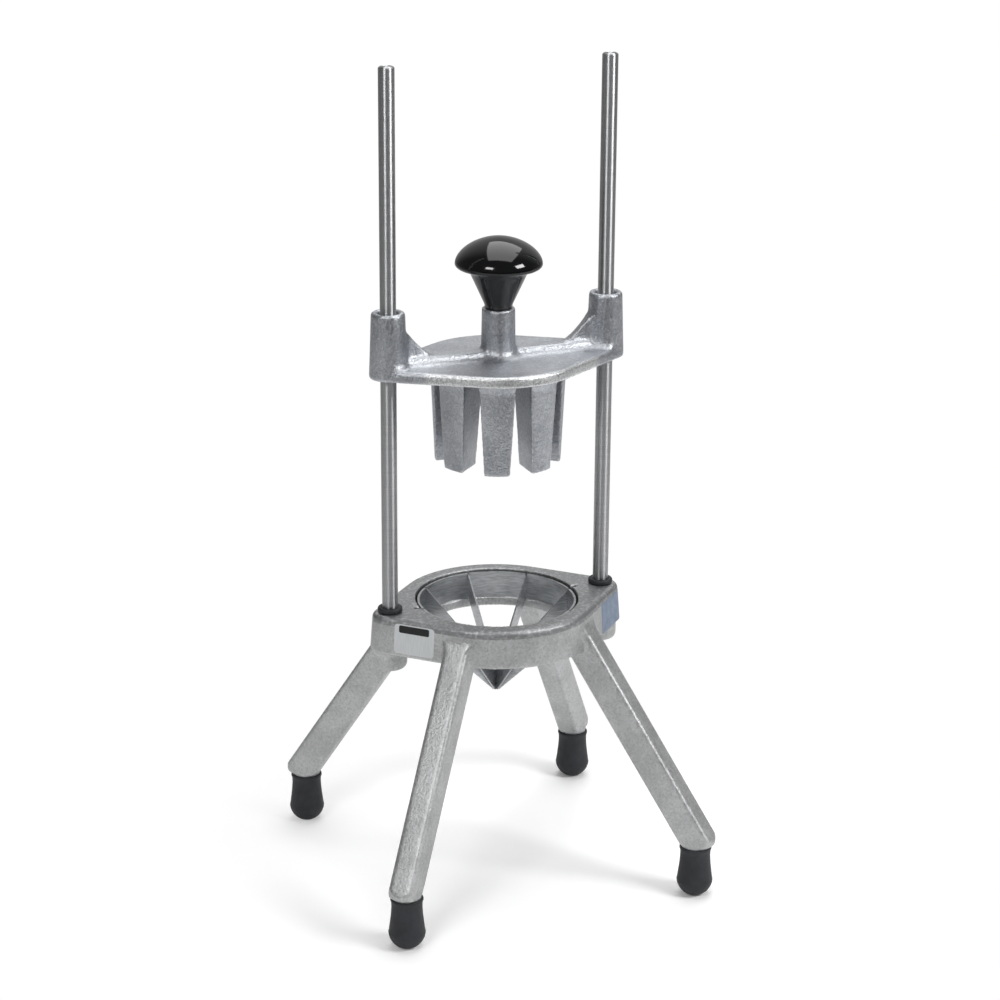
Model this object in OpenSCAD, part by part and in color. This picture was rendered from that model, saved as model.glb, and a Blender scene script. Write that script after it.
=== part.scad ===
// Push-down fruit wedger. A cast frame on four splayed legs holds a cup of eight blade arms,
// and a cast push block with eight fingers slides down two guide rods and through the blades.
// Millimetres. The origin is on the table under the centre of the blade ring, X runs through
// both guide rods, +Y is the back and +Z is up. The push block stands as it does when raised.

/* [Guide rods] */
// Diameter of the ground stainless rods
rod_d = 9.525; // [8:0.025:11]
// Distance between the two rod axes
rod_spacing = 138.8; // [134:0.2:150]
// Height of the rod tops above the table
rod_top_z = 503.6; // [480:0.2:560]
// Chamfer on both ends of a rod
rod_chamfer = 0.8; // [0.3:0.1:1.5]
// Height of a rod's lower end above the underside of its end boss
rod_end_inset = 2; // [1:0.5:6]
// Outside diameter of the rubber bumper round the foot of a rod
bumper_d = 15; // [13.5:0.25:17]
// Thickness of the rubber bumper
bumper_h = 3.2; // [2:0.2:5]

/* [Frame casting] */
// Height of the frame's flat top above the table
deck_z = 174.4; // [170:0.2:190]
// Outside diameter of the frame's round middle
ring_d = 123.4; // [120:0.2:128]
// Height of the outer wall of the frame
ring_h = 23.4; // [21:0.2:28]
// Draft of the frame's outer wall, all the way from its lower edge to its top
wall_draft = 1.5; // [0.5:0.1:3]
// Rounding of the frame's top outer edge
deck_edge = 3; // [2:0.5:7]
// Diameter of the machined opening for the blade ring
opening_d = 100; // [98:0.5:104]
// Width of the ledge that carries the blade ring
ledge_w = 4; // [3:0.25:5.5]
// Height of that ledge above the frame's lower edge
ledge_h = 5.6; // [4:0.2:8]
// Diameter of the end bosses in plan
end_boss_d = 24.6; // [23:0.2:28]
// Depth of the end bosses below the frame's top
end_boss_h = 36.4; // [32:0.2:50]
// Wall left round the pockets under the deck
pocket_wall = 4.5; // [3:0.5:6]
// Thickness of the deck above the pockets
deck_t = 5; // [4:0.5:8]
// Diameter of the set screws that hold the rods
set_screw_d = 6; // [4:0.5:8]
// Length of those set screws
set_screw_l = 9; // [6:0.5:10]

/* [Legs and feet] */
// Distance between neighbouring foot centres, alike along X and Y
foot_spread = 188; // [176:1:220]
// Width of the leg bar across its outer face
leg_w = 15.8; // [12:0.2:18]
// Depth of the leg bar from its outer to its inner face
leg_t = 19; // [15:0.1:20]
// Rounding of the four long edges of a leg
leg_edge = 2.6; // [1:0.2:4]
// Fillet on both sides of a leg where it leaves the frame's wall
leg_root = 2.5; // [1:0.5:8]
// Gap between the foot's mouth and the leg's level lower end
leg_end_gap = 1; // [0.6:0.2:6]
// Diameter to which the outer half of the leg's lower end is turned
leg_end_d = 24.2; // [23:0.2:28]
// Rounding of that end's lower edge
leg_end_edge = 2.4; // [1:0.2:4]
// Diameter of the round stub that carries the foot
stub_d = 15.4; // [12:0.2:16]
// Diameter of the stub at the foot's mouth, where it widens
mouth_d = 17.4; // [16.4:0.2:18]
// Depth of the widened mouth
mouth_h = 3; // [2:0.5:5]
// Diameter of the rubber foot where it is widest
foot_d = 22.1; // [20:0.1:26]
// Diameter of the rubber foot at its waist
foot_waist_d = 18.4; // [17.8:0.2:19.6]
// Diameter of the rubber foot's lip
foot_lip_d = 19.6; // [19.4:0.1:21]
// Height of the rubber foot
foot_h = 32.4; // [28:0.2:40]
// Diameter of the flat that the rubber foot stands on
foot_flat_d = 5; // [4:0.5:10]
// Thickness of rubber under the stub
foot_floor = 13; // [10:0.5:16]

/* [Blade cup] */
// Radial gap between the blade ring and the opening
ring_gap = 1.4; // [0.6:0.1:2]
// Thickness of the blade ring's strip
blade_ring_t = 1.3; // [1:0.1:2]
// Height of the blade ring
blade_ring_h = 16.3; // [14:0.1:17.5]
// Thickness of a blade
blade_t = 1; // [0.8:0.1:1.5]
// Height of a blade strip, measured straight up
blade_h = 14; // [12:0.5:15]
// Slope of the blade arms below the level
blade_slope = 45; // [35:1:50]
// Half width of the flat tip under the crossing
blade_tip = 2.5; // [2:0.25:4]
// Height of the tabs that hook into the blade ring
tab_h = 6; // [4:0.5:8]
// How far the side-to-side blade reaches into the frame's notches
notch_reach = 3.2; // [3:0.2:6]

/* [Push block] */
// Height of the push block's underside above the table when raised
block_z = 320.8; // [300:0.2:400]
// Diameter of the plate's round middle
plate_d = 98; // [90:1:108]
// Thickness of the plate at its rim
plate_t = 6.8; // [5:0.2:9]
// Rounding of the plate's top edge
plate_edge = 2; // [1:0.5:3]
// Diameter of a guide boss at the plate
boss_d = 22.8; // [21:0.2:28]
// Diameter of a guide boss at its top
boss_top_d = 20.2; // [18.4:0.2:22]
// Height of a guide boss
boss_h = 40; // [34:1:52]
// Width of the rib between the bosses
rib_w = 11; // [8:0.5:16]
// Height of the rib above the plate
rib_h = 4.5; // [3:0.5:7]
// Thickness of the gusset between a boss and the rib
gusset_t = 6; // [3:0.5:8]
// Height of the gusset above the rib
gusset_h = 15.2; // [12:0.1:22]
// Reach of the gusset along the rib
gusset_l = 16; // [12:0.1:24]
// Diameter of the knob post at its top
post_d = 19.9; // [18.4:0.1:24]
// Height of the knob post above the plate's underside
post_h = 36.3; // [30:0.1:44]
// Length of the fingers below the plate
finger_h = 57.2; // [50:0.2:62]
// Diameter round the fingers at the plate
finger_d = 80.6; // [76:0.2:84]
// Diameter round the fingers at their tips
finger_tip_d = 75.8; // [72:0.2:78]
// Gap between neighbouring fingers at the plate
gap_root = 9.2; // [7:0.1:11]
// Gap between neighbouring fingers at their tips
gap_tip = 13.7; // [12:0.1:15]
// Wall thickness of a guide bushing
bushing_t = 1.3; // [1:0.1:2]
// Length of a guide bushing
bushing_l = 14; // [10:1:16]
// Depth of a bushing below the face of its boss
bushing_inset = 1.6; // [1:0.2:3]

/* [Knob] */
// Diameter of the mushroom knob
knob_d = 52; // [44:0.2:60]
// Height of the dome above the knob's widest line
knob_dome_h = 16.1; // [12:0.1:22]
// Width of the rounding under the knob's widest line
knob_lip_w = 3.9; // [2:0.1:5]
// Height of that rounding
knob_lip_h = 2.8; // [2:0.1:5]
// Height of the knob's neck below the widest line
knob_neck_h = 26.6; // [22:0.2:32]
// Diameter of the neck at its lower end
knob_neck_d = 16.6; // [15.4:0.2:19]
// Diameter of the neck where it meets the cap
knob_throat_d = 36.8; // [28:0.2:40]
// Diameter of the threaded stud
stud_d = 9.5; // [8:0.5:10]
// Depth of the stud in the post, and in the knob
stud_depth = 15; // [12:1:18]
// Outside diameter of the brass insert in the knob
insert_d = 12.6; // [12:0.2:13]

/* [Fits] */
// Radial clearance of a guide bushing on its rod
running_fit = 0.08; // [0.03:0.01:0.1]
// Radial clearance of parts that are fastened in place
seat_fit = 0.05; // [0.02:0.01:0.1]

/* [Hidden] */

LEFT = -1;
RIGHT = 1;
FRONT = -1;
REAR = 1;
EIGHTH = 45;           // angle between neighbouring blade arms, and between fingers
ARC_STEPS = 6;         // straight steps in a drawn quarter round
OVER = 1;              // overlap of a cutting tool past the face that it cuts
SMOOTH = 96;           // facets of round forms
COARSE = 32;           // facets of small rounds inside a hull
FLAT = 1.12;           // power that flattens the flanks of an arc

rod_x = rod_spacing / 2;
rod_r = rod_d / 2;
frame_low_z = deck_z - ring_h;
end_boss_low_z = deck_z - end_boss_h;
tail_step = 2;         // the lower part of an end boss stands in from its upper part by this much
boss_round = 4;        // rounding of an end boss's lower rim
rod_low_z = end_boss_low_z + rod_end_inset;
bumper_round = 1.1;    // rounding of the bumper's outer edges
socket_depth = 0.45 * set_screw_l;
socket_d = 0.58 * set_screw_d;
ledge_d = opening_d - 2 * ledge_w;
pocket_in_r = ring_d / 2 - pocket_wall + 1; // the pockets lie outside this, in the frame's two ears
pocket_web = 8;        // web under the deck between the front and the rear pocket of an ear

// Legs run in the planes at 45 degrees from a foot's axis into the frame's wall
foot_x = foot_spread / 2;
foot_r = foot_x * sqrt(2);
leg_end_z = foot_h + leg_end_gap;
leg_knee_h = 5;                          // height above the leg's end where its axis meets the foot's axis
leg_knee_z = leg_end_z + leg_knee_h;
leg_top_in = 10.6;                       // the bar's axis ends this far inside the frame's wall
leg_top_drop = 11.4;                     // and this far below the deck
leg_top_r = ring_d / 2 - leg_top_in;
leg_top_z = deck_z - leg_top_drop;
leg_rise = leg_top_z - leg_knee_z;
leg_run = foot_r - leg_top_r;
leg_tilt = atan2(leg_run, leg_rise);
leg_l = norm([leg_rise, leg_run]);
leg_tail = 24;                           // bar below the knee, before the level cut
leg_root_in = 3;                         // the fillets beside a leg start this far inside the wall
stub_shoulder = 2.5;                     // reach of the stub into the leg's end
foot_wide_z = 0.3 * foot_h;              // the foot is widest here
foot_waist_z = 0.8 * foot_h;
foot_lip_z = foot_h - 1.4;
foot_lip_edge = 0.4;                     // the lip's top stands in by this much

// The blade ring hangs on the ledge, and the arms slope down from it to the crossing
seat_z = frame_low_z + ledge_h;
ring_out_r = opening_d / 2 - ring_gap;
ring_in_r = ring_out_r - blade_ring_t;
ring_top_z = seat_z + blade_ring_h;
rim_drop = 0.5;                          // the arms end this far under the ring's rim
blade_top_z = ring_top_z - rim_drop;
tab_drop = 2;                            // the tabs' top lies this far below the arms' top
cup_z = blade_top_z - ring_in_r * tan(blade_slope);
notch_floor = 0.4;                       // room under a tab in its notch
lap_half = blade_t / 2 * (1 + cos(EIGHTH)) / sin(EIGHTH) + seat_fit;
crossing_low_z = cup_z - blade_h + blade_tip * tan(blade_slope);
crossing_high_z = cup_z + lap_half * tan(blade_slope);
lap_h = (crossing_high_z - crossing_low_z) / 4;
notch_w = blade_t + 0.8;
notch_depth = deck_z - blade_top_z + tab_h + notch_floor;

bushing_r = rod_r + running_fit;
sleeve_r = bushing_r + bushing_t;
block_top_z = block_z + boss_h;
plate_top_z = block_z + plate_t;
post_top_z = block_z + post_h;
post_round = 6;                          // fillet at the foot of the post
post_draft = 0.6;                        // the post's foot is wider by this on every side
boss_fillet = 3.6;                       // fillet between a guide boss and the plate
rib_fillet = 4;                          // fillet along both sides of the rib
gusset_fillet = 6.5;                     // fillet between a gusset and its boss
gusset_hollow = 0.42;                    // share of the gusset's rise that follows a parabola
boss_rim = 1.6;                          // rounding of a guide boss's rims
end_step = 0.3;                          // the bosses stand out past the plate's ends by this much
mouth_chamfer = 1.4;                     // chamfer round the mouth of a boss's bore
root_step = 0.8;                         // collar where the fingers meet the plate
root_step_h = 4.5;

knob_wide_z = post_top_z + knob_neck_h;
knob_foot_h = 1.8;                       // short straight part at the neck's lower end
knob_foot_edge = 0.8;                    // chamfer round it
insert_h = stud_depth;
thread_gap = 0.05;                       // radial gap that stands for the thread

// Points on an elliptic arc from angle a0 to a1, both ends included
function arc(cx, cy, rx, ry, a0, a1, steps = ARC_STEPS) =
  [for (i = [0:steps]) let (a = a0 + (a1 - a0) * i / steps) [cx + rx * cos(a), cy + ry * sin(a)]];

// The same with flatter flanks, so that it meets its neighbours at blunt corners
function flat_arc(cx, cy, rx, ry, a0, a1, steps = ARC_STEPS) =
  [for (i = [0:steps])
    let (a = a0 + (a1 - a0) * i / steps, x = cos(a), y = sin(a))
    [cx + rx * sign(x) * pow(abs(x), FLAT), cy + ry * sign(y) * pow(abs(y), FLAT)]];

// Outline of a disc of radius r drawn out to two round ends of radius e at x = -d and x = d
function lens(r, e, d) =
  let (t = acos((r - e) / d))
  concat(
    arc(d, 0, e, e, -t, t, 16),
    arc(0, 0, r, r, t, 180 - t, 32),
    arc(-d, 0, e, e, 180 - t, 180 + t, 16),
    arc(0, 0, r, r, 180 + t, 360 - t, 32)
  );

// Outline of a rectangle w by h about the origin with corners of radius r
function rounded_box(w, h, r) =
  concat(
    arc(w / 2 - r, h / 2 - r, r, r, 0, 90, 4),
    arc(r - w / 2, h / 2 - r, r, r, 90, 180, 4),
    arc(r - w / 2, r - h / 2, r, r, 180, 270, 4),
    arc(w / 2 - r, r - h / 2, r, r, 270, 360, 4)
  );

// Round disc with its lower face at z = 0, a draft toward the top and a rounded top edge
module puck(r, h, edge, draft, facets) {
  rotate_extrude($fn = facets)
    polygon(concat([[0, 0], [r, 0]], arc(r - draft - edge, h - edge, edge, edge, 0, 90), [[0, h]]));
}

// Disc drawn out to two round ends over the rods, with a rounded top edge
module drawn_out_disc(r, e, h, edge, draft) {
  hull() {
    puck(r, h, edge, draft, SMOOTH);
    for (side = [LEFT, RIGHT]) translate([side * rod_x, 0, 0]) puck(e, h, edge, draft, COARSE);
  }
}

// Concave fillet of radius f round a vertical shaft of radius r, standing on z = 0
module foot_fillet(r, f) {
  rotate_extrude($fn = SMOOTH)
    difference() {
      translate([r - OVER, -OVER]) square([f + OVER, f + OVER]);
      translate([r + f, f]) circle(r = f);
    }
}

/* ---- base casting ---- */

// Places its children in the upright plane of a leg, with X pointing outwards
module in_leg_plane(side, end) {
  rotate([0, 0, atan2(end, side)]) children();
}

// Stretch of a leg along the bar's axis, t deep and w wide, with the long edges rounded
module leg_bar(t, w, edge) {
  translate([foot_r, 0, leg_knee_z])
    rotate([0, -leg_tilt, 0])
      translate([0, 0, -leg_tail])
        linear_extrude(leg_tail + leg_l) polygon(rounded_box(t, w, edge));
}

// Straight leg bar from the frame's wall down to its level end, whose outer half is turned round
module leg(side, end) {
  r = leg_end_d / 2;
  in_leg_plane(side, end)
    difference() {
      leg_bar(leg_t, leg_w, leg_edge);
      translate([foot_r - 2 * leg_t, -leg_w, leg_end_z - leg_tail])
        cube([4 * leg_t, 2 * leg_w, leg_tail]);
      difference() {
        translate([foot_r, -leg_w, leg_end_z - OVER]) cube([2 * leg_t, 2 * leg_w, leg_t]);
        translate([foot_r, 0, leg_end_z])
          rotate_extrude($fn = SMOOTH)
            polygon(concat([[0, 0]], arc(r - leg_end_edge, leg_end_edge, leg_end_edge, leg_end_edge, -90, 0),
                           [[r, leg_t], [0, leg_t]]));
      }
    }
}

// Fillets beside a leg, from the frame's lower edge up to where the leg's outer face meets the wall
module leg_fillets(side, end) {
  wall_r = ring_d / 2 - leg_root_in;
  root_r = ring_d / 2 - wall_draft + leg_root;
  half = leg_w / 2;
  in_leg_plane(side, end)
    intersection() {
      leg_bar(leg_t, leg_w + 2 * leg_root, leg_edge);
      translate([0, 0, frame_low_z])
        linear_extrude(ring_h - deck_edge)
          polygon(concat(
            [[wall_r, half + leg_root], [wall_r, -half - leg_root]],
            arc(root_r, -half - leg_root, leg_root, leg_root, 180, 90),
            arc(root_r, half + leg_root, leg_root, leg_root, 270, 180)
          ));
    }
}

// Round stub under a leg, widening at the foot's mouth
module stub(side, end) {
  mouth_z = foot_h - mouth_h;
  translate([side * foot_x, end * foot_x, 0])
    rotate_extrude($fn = SMOOTH)
      polygon([[0, foot_floor], [stub_d / 2, foot_floor], [stub_d / 2, mouth_z], [mouth_d / 2, foot_h],
               [mouth_d / 2, leg_end_z + stub_shoulder], [0, leg_end_z + stub_shoulder]]);
}

// Lower part of an end boss, below the frame's wall, with a rounded rim
module end_boss_tail(side) {
  r = end_boss_d / 2 - tail_step;
  translate([side * rod_x, 0, end_boss_low_z])
    rotate_extrude($fn = SMOOTH)
      polygon(concat([[0, 0]], arc(r - boss_round, boss_round, boss_round, boss_round, -90, 0),
                     [[r, end_boss_h - deck_t], [0, end_boss_h - deck_t]]));
}

// Casting pockets under the frame's two ears, a front and a rear one beside each end boss
module deck_pockets() {
  translate([0, 0, frame_low_z - OVER])
    linear_extrude(ring_h - deck_t + OVER)
      difference() {
        polygon(lens(ring_d / 2 - pocket_wall, end_boss_d / 2 - pocket_wall, rod_x));
        circle(r = pocket_in_r, $fn = SMOOTH);
        square([4 * rod_x, pocket_web], center = true);
        for (side = [LEFT, RIGHT])
          translate([side * rod_x, 0]) circle(d = end_boss_d - 2 * tail_step, $fn = SMOOTH);
      }
}

// Place of a set screw: level, square to the rods' plane, from the back
module at_set_screw(side) {
  translate([side * rod_x, 0, frame_low_z + ring_h / 2]) rotate([-90, 0, 0]) children();
}

module base_frame() {
  color("#9a9b9d")
    difference() {
      union() {
        translate([0, 0, frame_low_z])
          drawn_out_disc(ring_d / 2, end_boss_d / 2, ring_h, deck_edge, wall_draft);
        for (side = [LEFT, RIGHT]) {
          end_boss_tail(side);
          for (end = [FRONT, REAR]) {
            leg(side, end);
            leg_fillets(side, end);
            stub(side, end);
          }
        }
      }
      deck_pockets();
      translate([0, 0, seat_z]) cylinder(d = opening_d, h = ring_h, $fn = SMOOTH);
      translate([0, 0, frame_low_z - end_boss_h]) cylinder(d = ledge_d, h = 2 * end_boss_h, $fn = SMOOTH);
      for (side = [LEFT, RIGHT]) {
        translate([side * (opening_d / 2 + notch_reach / 2), 0, deck_z - notch_depth / 2 + OVER])
          cube([notch_reach + 2 * OVER, notch_w, notch_depth + 2 * OVER], center = true);
        translate([side * rod_x, 0, end_boss_low_z - OVER])
          cylinder(r = rod_r + seat_fit, h = end_boss_h + 2 * OVER, $fn = SMOOTH);
        at_set_screw(side) cylinder(d = set_screw_d + 2 * seat_fit, h = end_boss_d, $fn = SMOOTH);
      }
    }
}

// Rubber tip pushed over a stub: rolled lip, waist, flared body and a rounded sole with a small flat
module foot(side, end) {
  bore_r = stub_d / 2 + seat_fit;
  color("#2f3033")
    translate([side * foot_x, end * foot_x, 0])
      rotate_extrude($fn = SMOOTH)
        polygon(concat(
          [[0, 0]],
          flat_arc(foot_flat_d / 2, foot_wide_z, (foot_d - foot_flat_d) / 2, foot_wide_z, -90, 0, 9),
          [[foot_waist_d / 2, foot_waist_z], [foot_lip_d / 2, foot_lip_z]],
          [[foot_lip_d / 2 - foot_lip_edge, foot_h], [mouth_d / 2 + seat_fit, foot_h]],
          [[bore_r, foot_h - mouth_h], [bore_r, foot_floor], [0, foot_floor]]
        ));
}

/* ---- guide rods ---- */

module guide_rod(side) {
  color("#c9cacc")
    translate([side * rod_x, 0, rod_low_z]) {
      l = rod_top_z - rod_low_z;
      rotate_extrude($fn = SMOOTH)
        polygon([[0, 0], [rod_r - rod_chamfer, 0], [rod_r, rod_chamfer], [rod_r, l - rod_chamfer],
                 [rod_r - rod_chamfer, l], [0, l]]);
    }
}

// Rubber ring on the deck that takes the push block's boss at the end of its stroke
module rod_bumper(side) {
  out = bumper_d / 2;
  color("#232426")
    translate([side * rod_x, 0, deck_z])
      rotate_extrude($fn = SMOOTH)
        polygon(concat(
          [[rod_r + seat_fit, 0]],
          arc(out - bumper_round, bumper_round, bumper_round, bumper_round, -90, 0, 4),
          arc(out - bumper_round, bumper_h - bumper_round, bumper_round, bumper_round, 0, 90, 4),
          [[rod_r + seat_fit, bumper_h]]
        ));
}

// Socket set screws, one behind each end boss, their points against the rods
module rod_set_screws() {
  color("#55575a")
    for (side = [LEFT, RIGHT])
      at_set_screw(side)
        translate([0, 0, rod_r + seat_fit])
          difference() {
            cylinder(d = set_screw_d, h = set_screw_l, $fn = SMOOTH);
            translate([0, 0, set_screw_l - socket_depth])
              cylinder(d = socket_d, h = socket_depth + OVER, $fn = 6);
          }
}

/* ---- blade cup ---- */

// Stainless strip ring that rests on the ledge, with a slot for the tab of every blade arm
module blade_ring() {
  color("#b9bbbd")
    difference() {
      translate([0, 0, seat_z]) cylinder(r = ring_out_r, h = blade_ring_h, $fn = SMOOTH);
      translate([0, 0, seat_z - OVER])
        cylinder(r = ring_in_r, h = blade_ring_h + 2 * OVER, $fn = SMOOTH);
      for (i = [0:7])
        rotate([0, 0, i * EIGHTH])
          translate([ring_in_r - OVER, -blade_t / 2 - seat_fit, blade_top_z - tab_h - seat_fit])
            cube([blade_ring_t + 2 * OVER, blade_t + 2 * seat_fit, tab_h + 2 * OVER]);
    }
}

// One blade: a V of two sloping arms, hooked into the ring at both ends. All four cross at the
// centre, where each keeps the material of its own level only and is slotted at the other three.
module blade(angle, level, tab_reach) {
  arm_r = ring_in_r - seat_fit;
  rise = arm_r * tan(blade_slope);
  low_z = cup_z - blade_h;
  tab_top_z = blade_top_z - tab_drop;
  tab_low_z = blade_top_z - tab_h;
  keep_low = crossing_low_z + level * lap_h;
  keep_high = keep_low + lap_h;
  color("#c4c6c8")
    rotate([0, 0, angle])
      rotate([90, 0, 0])
        translate([0, 0, -blade_t / 2])
          linear_extrude(blade_t)
            difference() {
              polygon([
                [-blade_tip, crossing_low_z], [blade_tip, crossing_low_z],
                [arm_r, low_z + rise], [arm_r, tab_low_z],
                [tab_reach, tab_low_z], [tab_reach, tab_top_z],
                [arm_r, tab_top_z], [arm_r, cup_z + rise], [0, cup_z],
                [-arm_r, cup_z + rise], [-arm_r, tab_top_z],
                [-tab_reach, tab_top_z], [-tab_reach, tab_low_z],
                [-arm_r, tab_low_z], [-arm_r, low_z + rise]
              ]);
              if (level > 0)
                translate([-lap_half, crossing_low_z - OVER])
                  square([2 * lap_half, level * lap_h + OVER + seat_fit]);
              if (level < 3)
                translate([-lap_half, keep_high])
                  square([2 * lap_half, blade_h]);
            }
}

/* ---- push block ---- */

// Guide boss with a slight draft and a rounded top rim
module guide_boss(side) {
  translate([side * rod_x, 0, block_z])
    rotate_extrude($fn = SMOOTH)
      polygon(concat([[0, 0], [boss_d / 2 - boss_rim, 0]],
                     arc(boss_d / 2 - boss_rim, boss_rim, boss_rim, boss_rim, -90, 0, 4),
                     arc(boss_top_d / 2 - boss_rim, boss_h - boss_rim, boss_rim, boss_rim, 0, 90, 4),
                     [[0, boss_h]]));
}

// Fillet round a guide boss where it stands on the plate, kept within the plate's outline
module boss_foot(side) {
  translate([0, 0, plate_top_z])
    intersection() {
      translate([side * rod_x, 0, 0]) foot_fillet(boss_d / 2 - end_step, boss_fillet);
      linear_extrude(boss_fillet)
        polygon(lens((plate_d - plate_edge) / 2, (boss_d - plate_edge) / 2 - end_step, rod_x));
    }
}

// Rounded rib along the plate from boss to boss, with a fillet on each side
module rib() {
  translate([-rod_x, 0, plate_top_z])
    rotate([90, 0, 90])
      linear_extrude(2 * rod_x)
        difference() {
          translate([-rib_w / 2 - rib_fillet, -OVER])
            square([rib_w + 2 * rib_fillet, rib_h + OVER]);
          for (side = [LEFT, RIGHT]) {
            translate([side * (rib_w / 2 + rib_fillet), rib_fillet]) circle(r = rib_fillet, $fn = SMOOTH);
            translate([side * (rib_w / 2 + rib_fillet), rib_h + rib_fillet])
              square(2 * rib_fillet, center = true);
          }
        }
}

// Web that stiffens a boss: its top edge climbs from the rib to the boss in a slight hollow, and
// a fillet on each side runs it into the boss
module gusset(side) {
  wall_r = (boss_d + boss_top_d) / 4;
  half = gusset_t / 2;
  reach = sqrt(pow(wall_r + gusset_fillet, 2) - pow(half + gusset_fillet, 2));
  turn = asin((half + gusset_fillet) / (wall_r + gusset_fillet));
  toe_x = rod_x - boss_d / 2 - gusset_l;
  mirror([side == LEFT ? 1 : 0, 0, 0])
    intersection() {
      translate([0, 0, plate_top_z])
        linear_extrude(rib_h + gusset_h + OVER)
          polygon(concat(
            [[toe_x - OVER, half]],
            arc(rod_x - reach, half + gusset_fillet, gusset_fillet, gusset_fillet, -90, -turn),
            arc(rod_x - reach, -half - gusset_fillet, gusset_fillet, gusset_fillet, turn, 90),
            [[toe_x - OVER, -half]]
          ));
      translate([0, boss_d / 2, plate_top_z + rib_h - OVER])
        rotate([90, 0, 0])
          linear_extrude(boss_d)
            polygon(concat(
              [[rod_x, 0], [toe_x - OVER, 0]],
              [for (i = [0:ARC_STEPS]) let (t = i / ARC_STEPS)
                [toe_x + gusset_l * t, OVER + gusset_h * t * (1 - gusset_hollow + gusset_hollow * t)]],
              [[rod_x, OVER + gusset_h]]
            ));
    }
}

// Post that carries the knob
module knob_post() {
  translate([0, 0, block_z]) {
    cylinder(r1 = post_d / 2 + post_draft, r2 = post_d / 2, h = post_h, $fn = SMOOTH);
    translate([0, 0, plate_t]) foot_fillet(post_d / 2, post_round);
  }
}

// Eight wedge fingers: a tapered plug cut into eighths by four tapered slots through the centre
module fingers() {
  tip_r = finger_tip_d / 2;
  root_r = finger_d / 2;
  difference() {
    translate([0, 0, block_z - finger_h])
      rotate_extrude($fn = SMOOTH)
        polygon([[0, 0], [tip_r, 0], [root_r, finger_h - root_step_h],
                 [root_r + root_step, finger_h - root_step_h + root_step],
                 [root_r + root_step, finger_h + OVER], [0, finger_h + OVER]]);
    for (i = [0:3])
      rotate([0, 0, i * EIGHTH])
        rotate([90, 0, 90])
          translate([0, block_z, -finger_d])
            linear_extrude(2 * finger_d)
              polygon([[-gap_root / 2, 0], [gap_root / 2, 0],
                       [gap_tip / 2, -finger_h], [gap_tip / 2, -finger_h - OVER],
                       [-gap_tip / 2, -finger_h - OVER], [-gap_tip / 2, -finger_h]]);
  }
}

module push_block() {
  color("#a6a8ab")
    difference() {
      union() {
        translate([0, 0, block_z])
          drawn_out_disc(plate_d / 2, boss_d / 2 - end_step, plate_t, plate_edge, end_step);
        for (side = [LEFT, RIGHT]) {
          guide_boss(side);
          boss_foot(side);
          gusset(side);
        }
        rib();
        knob_post();
        fingers();
      }
      for (side = [LEFT, RIGHT])
        translate([side * rod_x, 0, block_z]) {
          translate([0, 0, -OVER]) cylinder(r = sleeve_r + seat_fit, h = boss_h + 2 * OVER, $fn = SMOOTH);
          translate([0, 0, boss_h - mouth_chamfer])
            cylinder(r1 = sleeve_r, r2 = sleeve_r + mouth_chamfer + OVER,
                     h = mouth_chamfer + OVER, $fn = SMOOTH);
        }
      translate([0, 0, post_top_z - stud_depth])
        cylinder(r = stud_d / 2 + thread_gap, h = stud_depth + OVER, $fn = SMOOTH);
    }
}

// Plain sleeve pressed into one end of a guide boss
module bushing(side, low_z) {
  color("#3a3b3d")
    translate([side * rod_x, 0, low_z])
      difference() {
        cylinder(r = sleeve_r, h = bushing_l, $fn = SMOOTH);
        translate([0, 0, -OVER]) cylinder(r = bushing_r, h = bushing_l + 2 * OVER, $fn = SMOOTH);
      }
}

/* ---- knob ---- */

module knob_stud() {
  color("#8d8f92")
    translate([0, 0, post_top_z - stud_depth])
      cylinder(d = stud_d, h = 2 * stud_depth, $fn = SMOOTH);
}

// Brass insert moulded into the neck
module knob_insert() {
  color("#c2a25a")
    translate([0, 0, post_top_z])
      difference() {
        cylinder(d = insert_d, h = insert_h, $fn = SMOOTH);
        translate([0, 0, -OVER])
          cylinder(r = stud_d / 2 + thread_gap, h = insert_h + 2 * OVER, $fn = SMOOTH);
      }
}

// Moulded mushroom knob: short foot, flared neck, flat underside, rounded lip and domed cap
module knob() {
  r = knob_d / 2;
  color("#131315")
    difference() {
      translate([0, 0, knob_wide_z])
        rotate_extrude($fn = SMOOTH)
          polygon(concat(
            [[0, -knob_neck_h], [knob_neck_d / 2 - knob_foot_edge, -knob_neck_h]],
            [[knob_neck_d / 2, knob_foot_edge - knob_neck_h], [knob_neck_d / 2, knob_foot_h - knob_neck_h]],
            [[knob_throat_d / 2, -knob_lip_h]],
            arc(r - knob_lip_w, 0, knob_lip_w, knob_lip_h, -90, 0),
            flat_arc(0, 0, r, knob_dome_h, 6, 90, 14)
          ));
      translate([0, 0, post_top_z - OVER])
        cylinder(d = insert_d + 2 * seat_fit, h = insert_h + OVER + seat_fit, $fn = SMOOTH);
    }
}

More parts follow.
